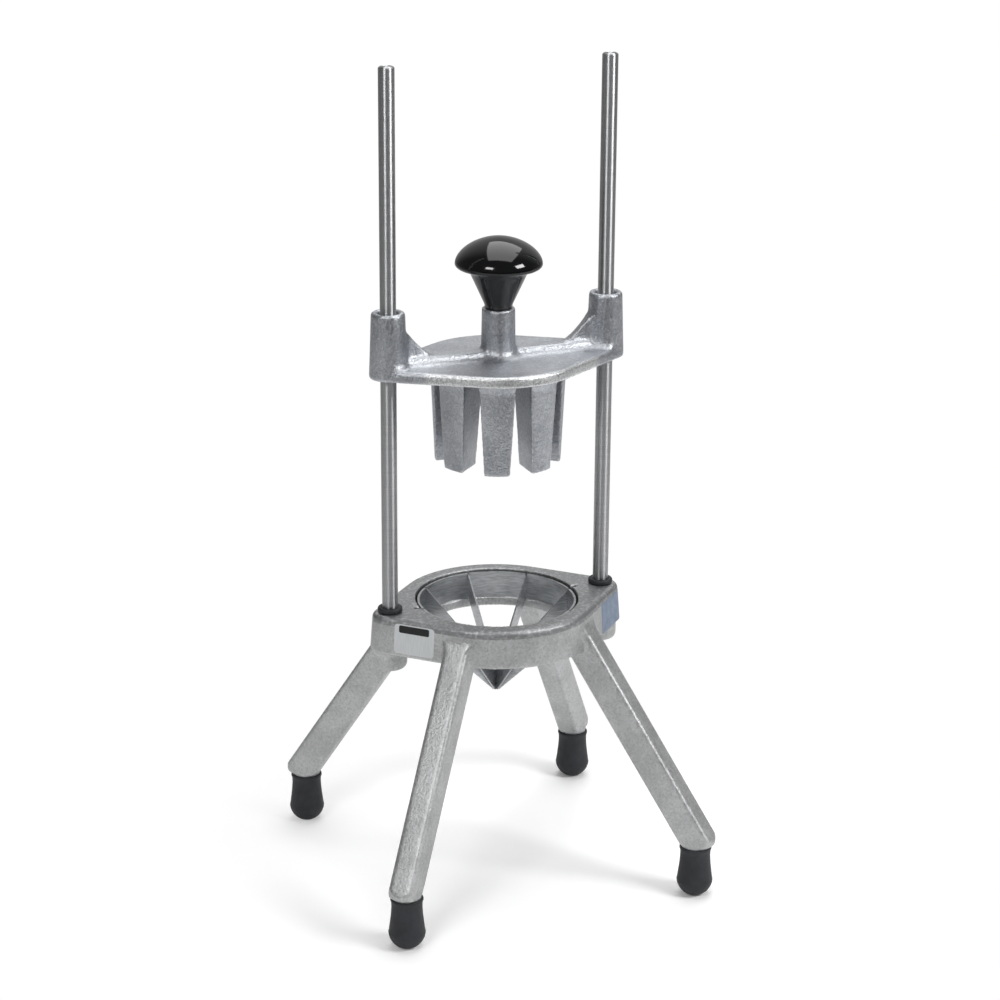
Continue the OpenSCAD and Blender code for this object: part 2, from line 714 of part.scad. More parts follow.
base_frame();
foot(LEFT, FRONT);  // foot_front_left
foot(RIGHT, FRONT);  // foot_front_right
foot(LEFT, REAR);  // foot_rear_left
foot(RIGHT, REAR);  // foot_rear_right
guide_rod(LEFT);  // guide_rod_left
guide_rod(RIGHT);  // guide_rod_right
rod_bumper(LEFT);  // rod_bumper_left
rod_bumper(RIGHT);  // rod_bumper_right
rod_set_screws();
blade_ring();
blade(0, 0, opening_d / 2 + notch_reach);  // blade_crosswise
blade(90, 1, ring_out_r);  // blade_lengthwise
blade(135, 2, ring_out_r);  // blade_diagonal_left
blade(45, 3, ring_out_r);  // blade_diagonal_right
push_block();
bushing(LEFT, block_top_z - bushing_inset - bushing_l);  // bushing_upper_left
bushing(RIGHT, block_top_z - bushing_inset - bushing_l);  // bushing_upper_right
bushing(LEFT, block_z + bushing_inset);  // bushing_lower_left
bushing(RIGHT, block_z + bushing_inset);  // bushing_lower_right
knob_stud();
knob_insert();
knob();
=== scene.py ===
"""Dressed model of a push-down fruit wedger.

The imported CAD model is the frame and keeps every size. The two castings get soft, tumbled edges,
the round parts are spun smooth, the blank label and sticker are laid on the frame's wall, and every
part gets a procedural finish. The studio repeats the lamps whose reflections show on the knob and
on the rods.
"""

import logging
import math
from contextlib import contextmanager
from dataclasses import dataclass
from enum import Enum
from typing import Callable, Iterator, Optional, Sequence

import bmesh
import bpy
import numpy as np
from mathutils import Matrix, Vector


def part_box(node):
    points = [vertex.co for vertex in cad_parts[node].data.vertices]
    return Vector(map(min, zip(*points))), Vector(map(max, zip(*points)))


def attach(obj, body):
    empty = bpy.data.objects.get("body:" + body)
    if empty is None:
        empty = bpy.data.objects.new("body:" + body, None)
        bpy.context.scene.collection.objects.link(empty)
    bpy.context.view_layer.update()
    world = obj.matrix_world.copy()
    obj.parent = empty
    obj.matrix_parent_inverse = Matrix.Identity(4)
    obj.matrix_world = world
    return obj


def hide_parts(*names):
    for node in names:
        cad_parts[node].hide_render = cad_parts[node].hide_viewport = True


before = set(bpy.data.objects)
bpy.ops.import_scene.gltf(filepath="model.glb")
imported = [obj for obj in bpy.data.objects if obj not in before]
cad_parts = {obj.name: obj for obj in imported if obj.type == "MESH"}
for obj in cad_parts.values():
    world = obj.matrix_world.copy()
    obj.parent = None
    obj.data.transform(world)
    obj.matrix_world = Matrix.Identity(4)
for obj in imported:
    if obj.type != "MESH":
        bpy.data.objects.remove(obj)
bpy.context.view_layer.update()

log = logging.getLogger("fruit_wedger")

Mesh = bpy.types.Mesh
Node = bpy.types.Node
Object = bpy.types.Object
Socket = bpy.types.NodeSocket
Tree = bpy.types.NodeTree
Pair = tuple[float, float]
Triple = tuple[float, float, float]
Rise = tuple[float, float, float, float]  # two levels of a pattern, and the value at each

MM = 0.001
TAU = 2.0 * math.pi
ROD_X = 69.4 * MM  # from the middle to the axis of a rod, its bosses and its bumper
EVEN = (1.0, 1.0, 1.0)  # a pattern that isn't drawn out along any axis
WHITE = (1.0, 1.0, 1.0, 1.0)
MERGE = 1e-7  # points of a new mesh closer than this are one
SLIVER = 1e-8  # edges of a new mesh shorter than this are closed up
CAD_MERGE = 2e-6  # the same for the loose triangles of a CAD node


class Side(Enum):
    """Left or right as seen from the front; the value is the sign of X."""

    LEFT = -1
    RIGHT = 1


class End(Enum):
    """Front or rear; the value is the sign of Y."""

    FRONT = -1
    REAR = 1


class Body(Enum):
    """The two CAD bodies that pieces ride on."""

    BASE = "base"
    PRESS = "press"


# ---------------------------------------------------------------- colour and shader nodes


def linear(code: str) -> tuple[float, float, float, float]:
    """Turns an sRGB hex colour to linear light.

    Args:
        code: the colour as "#rrggbb".

    Returns:
        Linear red, green, blue and an alpha of 1.
    """
    srgb = np.array([int(code[i : i + 2], 16) for i in (1, 3, 5)]) / 255.0
    lin = np.where(srgb <= 0.04045, srgb / 12.92, ((srgb + 0.055) / 1.055) ** 2.4)
    return (float(lin[0]), float(lin[1]), float(lin[2]), 1.0)


def feed(tree: Tree, node: Node, inputs: dict) -> None:
    """Fills a node's inputs.

    Args:
        tree: the node tree that holds the node.
        node: the node.
        inputs: constants, or output sockets to link, by input name or number.
    """
    for key, value in inputs.items():
        if isinstance(value, Socket):
            tree.links.new(value, node.inputs[key])
        else:
            node.inputs[key].default_value = value


def put(
    tree: Tree, kind: str, settings: Optional[dict] = None, inputs: Optional[dict] = None
) -> Node:
    """Adds a shader node with its settings, constants and links.

    Args:
        tree: the node tree that takes the node.
        kind: the node's type name without "ShaderNode".
        settings: attributes of the node.
        inputs: constants or output sockets by input name or number.

    Returns:
        The new node.
    """
    node = tree.nodes.new("ShaderNode" + kind)
    for key, value in (settings or {}).items():
        setattr(node, key, value)
    feed(tree, node, inputs or {})
    return node


def share(tree: Tree, *steps: tuple) -> Socket:
    """How strongly something shows: the product of the smooth steps of one or more patterns.

    Args:
        tree: the node tree.
        steps: for each pattern its socket, the two levels that it runs between, and the values that
            it gives at them, which are 0 and 1 if left out. A socket alone counts as it is.

    Returns:
        The product's socket.
    """
    whole = None
    for pattern, *span in steps:
        if span:
            low, high, first, last = (*span, 0.0, 1.0)[:4]
            levels = {"From Min": low, "From Max": high, "To Min": first, "To Max": last}
            smooth = {"interpolation_type": "SMOOTHSTEP"}
            pattern = put(tree, "MapRange", smooth, {"Value": pattern, **levels}).outputs[0]
        if whole is None:
            whole = pattern
        else:
            whole = put(tree, "Math", {"operation": "MULTIPLY"}, {0: whole, 1: pattern}).outputs[0]
    return whole


def coat(tree: Tree, under: Socket | tuple, colour: str, *steps: tuple) -> Socket:
    """Lays a coat of colour over what is below it.

    Args:
        tree: the node tree.
        under: the colour below, as a socket or in linear light.
        colour: the coat's hex colour.
        steps: how strongly it covers, as `share` takes them.

    Returns:
        The result's socket.
    """
    colours = {0: share(tree, *steps), 6: under, 7: linear(colour)}
    return put(tree, "Mix", {"data_type": "RGBA"}, colours).outputs[2]


def mottle(
    tree: Tree, where: Socket, size_mm: float, detail: float, stretch: Triple = EVEN
) -> Socket:
    """A pattern from 0 to 1 whose blotches have a real size.

    Args:
        tree: the node tree.
        where: Object coordinates.
        size_mm: how far the blotches are across.
        detail: how many finer layers lie over them.
        stretch: scale along each axis; a small one draws the blotches out that way.

    Returns:
        The pattern's socket.
    """
    if stretch != EVEN:
        where = put(tree, "Mapping", None, {"Vector": where, "Scale": stretch}).outputs[0]
    grain = {"Vector": where, "Scale": 1.0 / (size_mm * MM), "Detail": detail, "Roughness": 0.55}
    return put(tree, "TexNoise", None, grain).outputs[0]


# ---------------------------------------------------------------- finishes


@dataclass(frozen=True)
class Finish:
    """A procedural finish. Subclasses say what the real material is and paint it.

    Attributes:
        name: the material's name, after what the real one is.
        slot: the record's material slot; not used.
    """

    name: str = "plain"
    slot: str = ""

    def paint(self, tree: Tree, where: Socket, skin: Node) -> None:
        """Adds this finish's nodes in front of the skin shader."""
        raise NotImplementedError

    def material(self) -> bpy.types.Material:
        """Returns the finish's material, made once.

        Returns:
            The material with this finish's name.
        """
        ready = bpy.data.materials.get(self.name)
        if ready is not None:
            return ready
        made = bpy.data.materials.new(self.name)
        made.use_nodes = True
        tree = made.node_tree
        tree.nodes.clear()
        where = put(tree, "TexCoord").outputs["Object"]
        skin = put(tree, "BsdfPrincipled")
        put(tree, "OutputMaterial", None, {"Surface": skin.outputs[0]})
        self.paint(tree, where, skin)
        return made


@dataclass(frozen=True)
class TumbledCasting(Finish):
    """Sand-cast aluminium alloy, vibratory tumbled: a grey satin skin with a fine grain of pits and
    flecks, faint cloudy patches, and edges that the tumbling has rubbed bright. Painted shade
    darkens its hollows and slots, and a painted band lies on one stretch: darker for painted shade,
    lighter for painted light.

    A span is the two levels of a pattern between which its coat of colour comes in, and a share is
    the most that the coat covers. Wear is 0.5 on a flat, 1 on a sharp edge and 0 in a hollow.

    Attributes:
        face: the grey of the skin.
        cloud: colour of the cloudy patches.
        fleck: colour of the flecks.
        worn: colour of the rubbed edges.
        hollow: colour of the pits, and of the painted shade in the hollows.
        painted_band: colour of a painted band: painted shade on the frame's deck, painted light on
            the push block's plate rim.
        grain_mm: size of the pits.
        fleck_mm: size of the flecks.
        cloud_mm: size of the cloudy patches.
        cloud_span, fleck_span, fleck_share, pit_span, pit_share: where and how much these cover.
        edge_span, edge_share: the wear at which the rubbed edges show, and how much.
        edge_breaks: levels of the flecks that break up the rubbed edges, and what is left there.
        hollow_shade_span, hollow_shade_share: the wear at which the painted shade in the hollows
            shows, and how much.
        roughness: roughness of the skin.
        rough_drift: how much it changes either way between pits and plain skin.
        rough_span: levels of the pits for that change.
        edge_roughness: roughness of the rubbed edges.
        edge_rough_span: the wear at which it comes in.
        relief: height of the grain, in metres.
        painted_band_z: the painted band's lowest and highest point, in metres.
        painted_band_x: how far it reaches from the middle along X.
        painted_band_edge: half the height of its soft edge.
        painted_band_fade: length of its soft end.
    """

    name: str = "tumbled_cast_aluminium"
    slot: str = "cast_aluminium"
    face: str = "#c2c4c8"
    cloud: str = "#b3b5ba"
    fleck: str = "#dcdddf"
    worn: str = "#ececed"
    hollow: str = "#97999e"
    # the frame's painted band: painted shade on the deck
    painted_band: str = "#9b9c9d"
    grain_mm: float = 1.3
    fleck_mm: float = 2.2
    cloud_mm: float = 20.0
    cloud_span: Pair = (0.35, 0.70)
    fleck_span: Pair = (0.46, 0.68)
    fleck_share: float = 0.45
    pit_span: Pair = (0.32, 0.58)
    pit_share: float = 0.45
    edge_span: Pair = (0.60, 0.95)
    edge_share: float = 0.45
    edge_breaks: Rise = (0.20, 0.55, 0.35, 1.0)
    hollow_shade_span: Pair = (0.40, 0.20)
    hollow_shade_share: float = 0.3
    roughness: float = 0.50
    rough_drift: float = 0.08
    rough_span: Pair = (0.3, 0.7)
    edge_roughness: float = 0.38
    edge_rough_span: Pair = (0.55, 0.85)
    relief: float = 0.08 * MM
    painted_band_z: Pair = (169.5 * MM, 175.0 * MM)
    painted_band_x: float = 1.0
    painted_band_edge: float = 0.2 * MM
    painted_band_fade: float = 6.0 * MM

    def painted_band_steps(self, tree: Tree, where: Socket) -> tuple:
        """Where the painted band lies: above its low edge, under its high edge, and near the
        middle.

        Args:
            tree: the node tree.
            where: Object coordinates.

        Returns:
            Three steps, as `share` takes them.
        """
        axes = put(tree, "SeparateXYZ", None, {0: where}).outputs
        reach = put(tree, "Math", {"operation": "ABSOLUTE"}, {0: axes[0]}).outputs[0]
        (low, high), soft = self.painted_band_z, self.painted_band_edge
        above = (axes[2], low - soft, low + soft)
        under = (axes[2], high + soft, high - soft)
        return above, under, (reach, self.painted_band_x + self.painted_band_fade, self.painted_band_x)

    def paint(self, tree: Tree, where: Socket, skin: Node) -> None:
        """Coats of colour from the clouds up to the worn edges, then roughness and relief.

        Args:
            tree: the node tree.
            where: Object coordinates.
            skin: the skin shader.
        """
        wear = put(tree, "Attribute", {"attribute_name": "wear"}).outputs["Fac"]
        clouds = mottle(tree, where, self.cloud_mm, detail=2.0)
        flecks = mottle(tree, where, self.fleck_mm, detail=4.0)
        pits = mottle(tree, where, self.grain_mm, detail=3.0)
        rubbed = (wear, *self.edge_span, 0.0, self.edge_share)
        coats = (
            (self.cloud, (clouds, *self.cloud_span)),
            # painted band: painted shade on the frame's deck, painted light on the push block's
            # plate rim
            (self.painted_band, *self.painted_band_steps(tree, where)),
            (self.fleck, (flecks, *self.fleck_span, 0.0, self.fleck_share)),
            (self.hollow, (pits, *self.pit_span, self.pit_share, 0.0)),
            (self.worn, rubbed, (flecks, *self.edge_breaks)),
            # painted shade: the hollow colour laid where the wear is low, in hollows and slots
            (self.hollow, (wear, *self.hollow_shade_span, 0.0, self.hollow_shade_share)),
        )
        colour = linear(self.face)
        for over, *steps in coats:
            colour = coat(tree, colour, over, *steps)
        ends = (self.roughness - self.rough_drift, self.roughness + self.rough_drift)
        plain = share(tree, (pits, *self.rough_span, *ends))
        edge = share(tree, (wear, *self.edge_rough_span))
        roughness = {0: edge, 2: plain, 3: self.edge_roughness}
        height = put(tree, "Math", {"operation": "ADD"}, {0: pits, 1: flecks}).outputs[0]
        relief = {"Strength": 1.0, "Distance": self.relief, "Height": height}
        looks = {
            "Base Color": colour,
            "Metallic": 1.0,
            "Roughness": put(tree, "Mix", {"data_type": "FLOAT"}, roughness).outputs[0],
            "Normal": put(tree, "Bump", None, relief).outputs[0],
        }
        feed(tree, skin, looks)


@dataclass(frozen=True)
class TwoTone(Finish):
    """A finish that drifts between two close colours in one pattern.

    Attributes:
        colour: the main colour.
        drift: the colour that it drifts to.
        grain_mm: size of the pattern's blotches.
        detail: how many finer layers the pattern has.
        stretch: the pattern's scale along each axis; a small one draws it out that way.
        span: levels of the pattern between which the drift comes in; empty for all of it.
        texture_mm: size of a separate, finer texture; 0 takes the pattern itself.
        metallic: 1 for bare metal.
        roughness: roughness in the low places of the texture.
        rough_rise: how much rougher its high places are.
        rough_span: levels of the texture for that rise.
        ior: index of refraction; a metal keeps the shader's own.
        relief: height of the texture, in metres.
        press: how strongly the relief shows.
    """

    colour: str = "#808080"
    drift: str = "#808080"
    grain_mm: float = 1.0
    detail: float = 4.0
    stretch: Triple = EVEN
    span: tuple[float, ...] = (0.35, 0.70)
    texture_mm: float = 0.0
    metallic: float = 0.0
    roughness: float = 0.45
    rough_rise: float = 0.0
    rough_span: Pair = (0.3, 0.7)
    ior: Optional[float] = None
    relief: float = 0.0
    press: float = 0.0

    def tone(self, tree: Tree, where: Socket, pattern: Socket) -> Socket:
        """The base colour: the main one drifting to the other with the pattern."""
        return coat(tree, linear(self.colour), self.drift, (pattern, *self.span))

    def paint(self, tree: Tree, where: Socket, skin: Node) -> None:
        """The drift of colour, and the texture in roughness and relief.

        Args:
            tree: the node tree.
            where: Object coordinates.
            skin: the skin shader.
        """
        pattern = mottle(tree, where, self.grain_mm, self.detail, self.stretch)
        texture = pattern
        if self.texture_mm:
            texture = mottle(tree, where, self.texture_mm, detail=2.0)
        looks = {
            "Base Color": self.tone(tree, where, pattern),
            "Metallic": self.metallic,
            "Roughness": self.roughness,
        }
        if self.rough_rise:
            ends = (self.roughness, self.roughness + self.rough_rise)
            looks["Roughness"] = share(tree, (texture, *self.rough_span, *ends))
        if self.ior is not None:
            looks["IOR"] = self.ior
        if self.relief:
            relief = {"Strength": self.press, "Distance": self.relief, "Height": texture}
            looks["Normal"] = put(tree, "Bump", None, relief).outputs[0]
        feed(tree, skin, looks)


@dataclass(frozen=True)
class GroundRod(TwoTone):
    """Centreless ground stainless bar: near mirror, with fine grinding lines round it that draw
    every highlight out along the rod. The lines are coarser than real ones, so that they show.

    Attributes:
        draw: how far the highlights are drawn out.
        draw_turn: the direction of that, as a share of a turn.
    """

    name: str = "ground_stainless_rod"
    slot: str = "ground_steel"
    colour: str = "#bebfc0"
    drift: str = "#b1b2b4"
    grain_mm: float = 0.5
    stretch: Triple = (0.02, 0.02, 1.0)
    metallic: float = 1.0
    roughness: float = 0.40
    relief: float = 0.005 * MM
    press: float = 0.05
    draw: float = 0.98
    draw_turn: float = 0.25

    def paint(self, tree: Tree, where: Socket, skin: Node) -> None:
        """Rings of slightly darker grinding lines, and highlights drawn out along the axis.

        Args:
            tree: the node tree.
            where: Object coordinates.
            skin: the skin shader.
        """
        super().paint(tree, where, skin)
        around = put(tree, "Tangent", {"direction_type": "RADIAL", "axis": "Z"}).outputs[0]
        drawn = {"Anisotropic": self.draw, "Anisotropic Rotation": self.draw_turn}
        feed(tree, skin, {**drawn, "Tangent": around})


@dataclass(frozen=True)
class BladeStrip(TwoTone):
    """Cold-rolled stainless strip: satin, with streaks of rolling lines along it."""

    name: str = "rolled_stainless_strip"
    slot: str = "blade_steel"
    colour: str = "#c6c8ca"
    drift: str = "#a4a6a9"
    grain_mm: float = 0.8
    stretch: Triple = (0.12, 0.12, 1.0)
    metallic: float = 1.0
    roughness: float = 0.32
    relief: float = 0.03 * MM
    press: float = 0.2


@dataclass(frozen=True)
class BlackenedSteel(TwoTone):
    """Black-oxide machined steel, lightly oiled: mottled, with slightly rubbed patches."""

    name: str = "black_oxide_steel"
    slot: str = "screw_steel"
    colour: str = "#3b3c3f"
    drift: str = "#5a5c60"
    grain_mm: float = 1.5
    detail: float = 3.0
    span: tuple[float, ...] = (0.40, 0.70)
    metallic: float = 1.0
    roughness: float = 0.38


@dataclass(frozen=True)
class MouldedRubber(TwoTone):
    """Compression-moulded black rubber: matte charcoal with a dusty bloom and the mould's very
    fine texture, which is drawn coarser than the real one, so that it shows."""

    name: str = "moulded_rubber"
    slot: str = "rubber"
    colour: str = "#202226"
    drift: str = "#2c2e33"
    grain_mm: float = 9.0
    detail: float = 3.0
    span: tuple[float, ...] = (0.30, 0.75)
    texture_mm: float = 0.5
    roughness: float = 0.50
    rough_rise: float = 0.14
    ior: Optional[float] = 1.5
    relief: float = 0.04 * MM
    press: float = 0.25


@dataclass(frozen=True)
class BearingPlastic(TwoTone):
    """Injection-moulded dark acetal bushing: smooth and slightly waxy, with slow flow marks."""

    name: str = "bearing_acetal"
    slot: str = "bushing_plastic"
    colour: str = "#34363a"
    drift: str = "#45474c"
    grain_mm: float = 4.0
    detail: float = 2.0
    roughness: float = 0.42
    ior: Optional[float] = 1.48


@dataclass(frozen=True)
class PolishedPhenolic(TwoTone):
    """Compression-moulded black phenolic, buffed: deep gloss over an even black, with a faint haze
    and a surface that waves very slightly."""

    name: str = "polished_black_phenolic"
    slot: str = "phenolic"
    colour: str = "#040506"
    drift: str = "#08090b"
    grain_mm: float = 14.0
    detail: float = 2.0
    span: tuple[float, ...] = (0.35, 0.75)
    roughness: float = 0.06
    rough_rise: float = 0.04
    ior: Optional[float] = 1.52
    relief: float = 0.05 * MM
    press: float = 0.05


@dataclass(frozen=True)
class TurnedBrass(TwoTone):
    """Turned free-cutting brass, dull from age, with turning rings."""

    name: str = "turned_brass"
    slot: str = "insert_brass"
    colour: str = "#b08d45"
    drift: str = "#8a6c35"
    grain_mm: float = 0.6
    detail: float = 2.0
    stretch: Triple = (0.05, 0.05, 1.0)
    span: tuple[float, ...] = ()
    metallic: float = 1.0
    roughness: float = 0.35


@dataclass(frozen=True)
class FoilLabel(TwoTone):
    """Blank satin aluminium foil label: a faint upright brushing, and one plain printed bar.

    The bar is a rounded rectangle in the wall's own plane, whose level direction is `along`.

    Attributes:
        ink: colour of the bar.
        along: level unit direction of the wall.
        middle: the bar's middle, along the wall and up, in metres.
        half: half its width and height.
        corner: radius of its corners.
        blur: half the width of its printed edge.
    """

    name: str = "satin_foil_label"
    slot: str = "cast_aluminium"
    colour: str = "#dde0e2"
    drift: str = "#d5d9db"
    grain_mm: float = 0.7
    detail: float = 3.0
    stretch: Triple = (1.0, 1.0, 0.05)
    metallic: float = 0.1
    ink: str = "#17181a"
    along: Pair = (-0.7024, 0.7118)
    middle: Pair = (0.02769, 0.1687)
    half: Pair = (9.9 * MM, 2.3 * MM)
    corner: float = 1.0 * MM
    blur: float = 0.08 * MM

    def bar(self, tree: Tree, where: Socket) -> tuple:
        """Where the printed bar is.

        The distance to a rounded rectangle is |max(|p - middle| - (half - corner), 0)| - corner.

        Args:
            tree: the node tree.
            where: Object coordinates.

        Returns:
            The step, as `share` takes it: 1 inside the bar and 0 outside.
        """
        wall = {0: where, 1: (*self.along, 0.0)}
        level = put(tree, "VectorMath", {"operation": "DOT_PRODUCT"}, wall)
        height = put(tree, "SeparateXYZ", None, {0: where}).outputs[2]
        away = put(tree, "CombineXYZ", None, {0: level.outputs["Value"], 1: height}).outputs[0]
        inner = (self.half[0] - self.corner, self.half[1] - self.corner, 0.0)
        moves = (
            ("SUBTRACT", {1: (*self.middle, 0.0)}),
            ("ABSOLUTE", {}),
            ("SUBTRACT", {1: inner}),
            ("MAXIMUM", {1: (0.0, 0.0, 0.0)}),
        )
        for operation, other in moves:
            settings = {"operation": operation}
            away = put(tree, "VectorMath", settings, {0: away, **other}).outputs[0]
        far = put(tree, "VectorMath", {"operation": "LENGTH"}, {0: away}).outputs["Value"]
        return far, self.corner + self.blur, self.corner - self.blur

    def tone(self, tree: Tree, where: Socket, pattern: Socket) -> Socket:
        """The foil's own colour, and the bar's ink over it."""
        return coat(tree, super().tone(tree, where, pattern), self.ink, self.bar(tree, where))


@dataclass(frozen=True)
class BlueSticker(TwoTone):
    """Blank grey-blue vinyl sticker: slightly uneven printed ink under a satin film."""

    name: str = "grey_blue_vinyl"
    slot: str = "rubber"
    colour: str = "#6a7a92"
    drift: str = "#8390a3"
    grain_mm: float = 5.0
    span: tuple[float, ...] = (0.30, 0.75)


# ---------------------------------------------------------------- surfaces and pieces


def grid_faces(rows: int, cols: int, closed: bool) -> np.ndarray:
    """Quads of a grid of rows x cols points, worked out as whole arrays.

    Args:
        rows: points along the first parameter.
        cols: points along the second parameter.
        closed: whether the second parameter runs round and meets itself.

    Returns:
        An array of point numbers, four per face.
    """
    i, j = np.meshgrid(np.arange(rows - 1), np.arange(cols if closed else cols - 1), indexing="ij")
    k = (j + 1) % cols
    quads = np.stack([i * cols + j, i * cols + k, (i + 1) * cols + k, (i + 1) * cols + j], axis=-1)
    return quads.reshape(-1, 4)


def spun(profile: np.ndarray, centre: Sequence[float], steps: int) -> tuple[np.ndarray, np.ndarray]:
    """Surface of revolution about a vertical axis.

    The point at profile row (r, z) and angle t is (cx + r cos t, cy + r sin t, z).

    Args:
        profile: rows of radius and height, from the bottom up on the outside.
        centre: x and y of the axis.
        steps: points round the axis.

    Returns:
        Points and quads.
    """
    turn = np.linspace(0.0, TAU, steps, endpoint=False)
    r, z = profile[:, :1], profile[:, 1:]
    x = centre[0] + r * np.cos(turn)
    y = centre[1] + r * np.sin(turn)
    points = np.stack([x, y, np.broadcast_to(z, x.shape)], axis=-1).reshape(-1, 3)
    return points, grid_faces(len(profile), steps, True)


def bend(
    centre: Sequence[float],
    radii: Sequence[float],
    first: float,
    last: float,
    steps: int,
    power: float = 1.0,
) -> np.ndarray:
    """Points on an elliptic arc whose flanks a power above 1 flattens.

    The point at angle t is centre + (rx sign(cos t) |cos t|^power, ry sign(sin t) |sin t|^power).

    Args:
        centre: the arc's centre.
        radii: its two radii.
        first: first angle in degrees.
        last: last angle in degrees.
        steps: number of points.
        power: 1 gives an ellipse.

    Returns:
        Rows of the two coordinates.
    """
    t = np.radians(np.linspace(first, last, steps))
    c, s = np.cos(t), np.sin(t)
    across = centre[0] + radii[0] * np.sign(c) * np.abs(c) ** power
    up = centre[1] + radii[1] * np.sign(s) * np.abs(s) ** power
    return np.stack([across, up], axis=-1)


@contextmanager
def worked(mesh: Mesh) -> Iterator[bmesh.types.BMesh]:
    """Opens a mesh for editing and stores the result in it.

    Args:
        mesh: the mesh.

    Returns:
        The editable mesh, inside a with block.
    """
    work = bmesh.new()
    work.from_mesh(mesh)
    yield work
    work.to_mesh(mesh)
    work.free()


def mesh_from(name: str, points: np.ndarray, faces: np.ndarray) -> Mesh:
    """Makes a mesh from arrays, merges the points that meet at poles and seams, and faces it out.

    Args:
        name: the mesh's name.
        points: rows of x, y, z in metres.
        faces: rows of four point numbers.

    Returns:
        The closed mesh.
    """
    mesh = bpy.data.meshes.new(name)
    mesh.from_pydata(points.tolist(), [], faces.tolist())
    with worked(mesh) as work:
        bmesh.ops.remove_doubles(work, verts=work.verts, dist=MERGE)
        bmesh.ops.dissolve_degenerate(work, edges=work.edges, dist=SLIVER)
        bmesh.ops.recalc_face_normals(work, faces=work.faces)
    return mesh


def merged_copy(node: str) -> Mesh:
    """Copies a CAD node's mesh and joins its loose triangles.

    Args:
        node: the CAD node.

    Returns:
        The joined copy.
    """
    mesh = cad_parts[node].data.copy()
    mesh.name = node + "_merged"
    with worked(mesh) as work:
        bmesh.ops.remove_doubles(work, verts=work.verts, dist=CAD_MERGE)
    return mesh


def shade_smooth(mesh: Mesh) -> None:
    """Shades every face of a mesh smooth."""
    mesh.polygons.foreach_set("use_smooth", np.ones(len(mesh.polygons), dtype=bool))


def smooth_below(mesh: Mesh, degrees: float) -> None:
    """Shades a mesh smooth and marks its sharper edges as sharp.

    Args:
        mesh: the mesh.
        degrees: the angle from which an edge is sharp.
    """
    shade_smooth(mesh)
    limit = math.radians(degrees)
    with worked(mesh) as work:
        for edge in work.edges:
            edge.smooth = len(edge.link_faces) == 2 and edge.calc_face_angle(0.0) < limit


def linked(name: str, data: bpy.types.ID) -> Object:
    """Makes an object and links it to the scene.

    Args:
        name: the object's name.
        data: its mesh, camera or lamp.

    Returns:
        The new object.
    """
    made = bpy.data.objects.new(name, data)
    bpy.context.scene.collection.objects.link(made)
    return made


def show(
    name: str, mesh: Mesh, finish: Finish, body: Body, stands_for: Sequence[str] = ()
) -> Object:
    """Puts a mesh in the scene as a piece of the object.

    Args:
        name: the piece's name.
        mesh: its mesh, in place.
        finish: its finish.
        body: the CAD body that it rides on.
        stands_for: the CAD nodes that it replaces.

    Returns:
        The new object.
    """
    piece = linked(name, mesh)
    mesh.materials.clear()
    mesh.materials.append(finish.material())
    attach(piece, body.value)
    if stands_for:
        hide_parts(*stands_for)
    log.info("%s: %d faces, %s", name, len(mesh.polygons), finish.name)
    return piece


def dress(node: str, finish: Finish) -> None:
    """Gives a CAD node that stays its finish.

    Args:
        node: the CAD node.
        finish: its finish.
    """
    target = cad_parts[node]
    target.data.materials.clear()
    target.data.materials.append(finish.material())
    log.info("%s: CAD solid kept, %s", node, finish.name)


def through_modifiers(mesh: Mesh, add: Callable[[Object], None]) -> Mesh:
    """Runs a mesh through modifiers and returns the result.

    Args:
        mesh: the mesh to start from.
        add: a function that adds the modifiers to an object.

    Returns:
        The new mesh.
    """
    holder = linked("holder", mesh)
    add(holder)
    bpy.context.view_layer.update()
    graph = bpy.context.evaluated_depsgraph_get()
    made = bpy.data.meshes.new_from_object(holder.evaluated_get(graph))
    bpy.data.objects.remove(holder)
    return made


def rows_of(items: Sequence, attribute: str, width: int, kind: type = float) -> np.ndarray:
    """One attribute of a mesh's points or edges.

    Args:
        items: the points or edges.
        attribute: the attribute's name.
        width: how many numbers it has.
        kind: their type.

    Returns:
        An array with a row for each item.
    """
    flat = np.empty(len(items) * width, dtype=kind)
    items.foreach_get(attribute, flat)
    return flat.reshape(-1, width)


def points_of(mesh: Mesh) -> np.ndarray:
    """The mesh's points as rows of x, y and z."""
    return rows_of(mesh.vertices, "co", 3)


def edges_of(mesh: Mesh) -> np.ndarray:
    """The mesh's edges as rows of two point numbers."""
    return rows_of(mesh.edges, "vertices", 2, np.int64)


def normals_of(mesh: Mesh) -> np.ndarray:
    """The outward direction at each point of the mesh."""
    return rows_of(mesh.vertex_normals, "vector", 3)


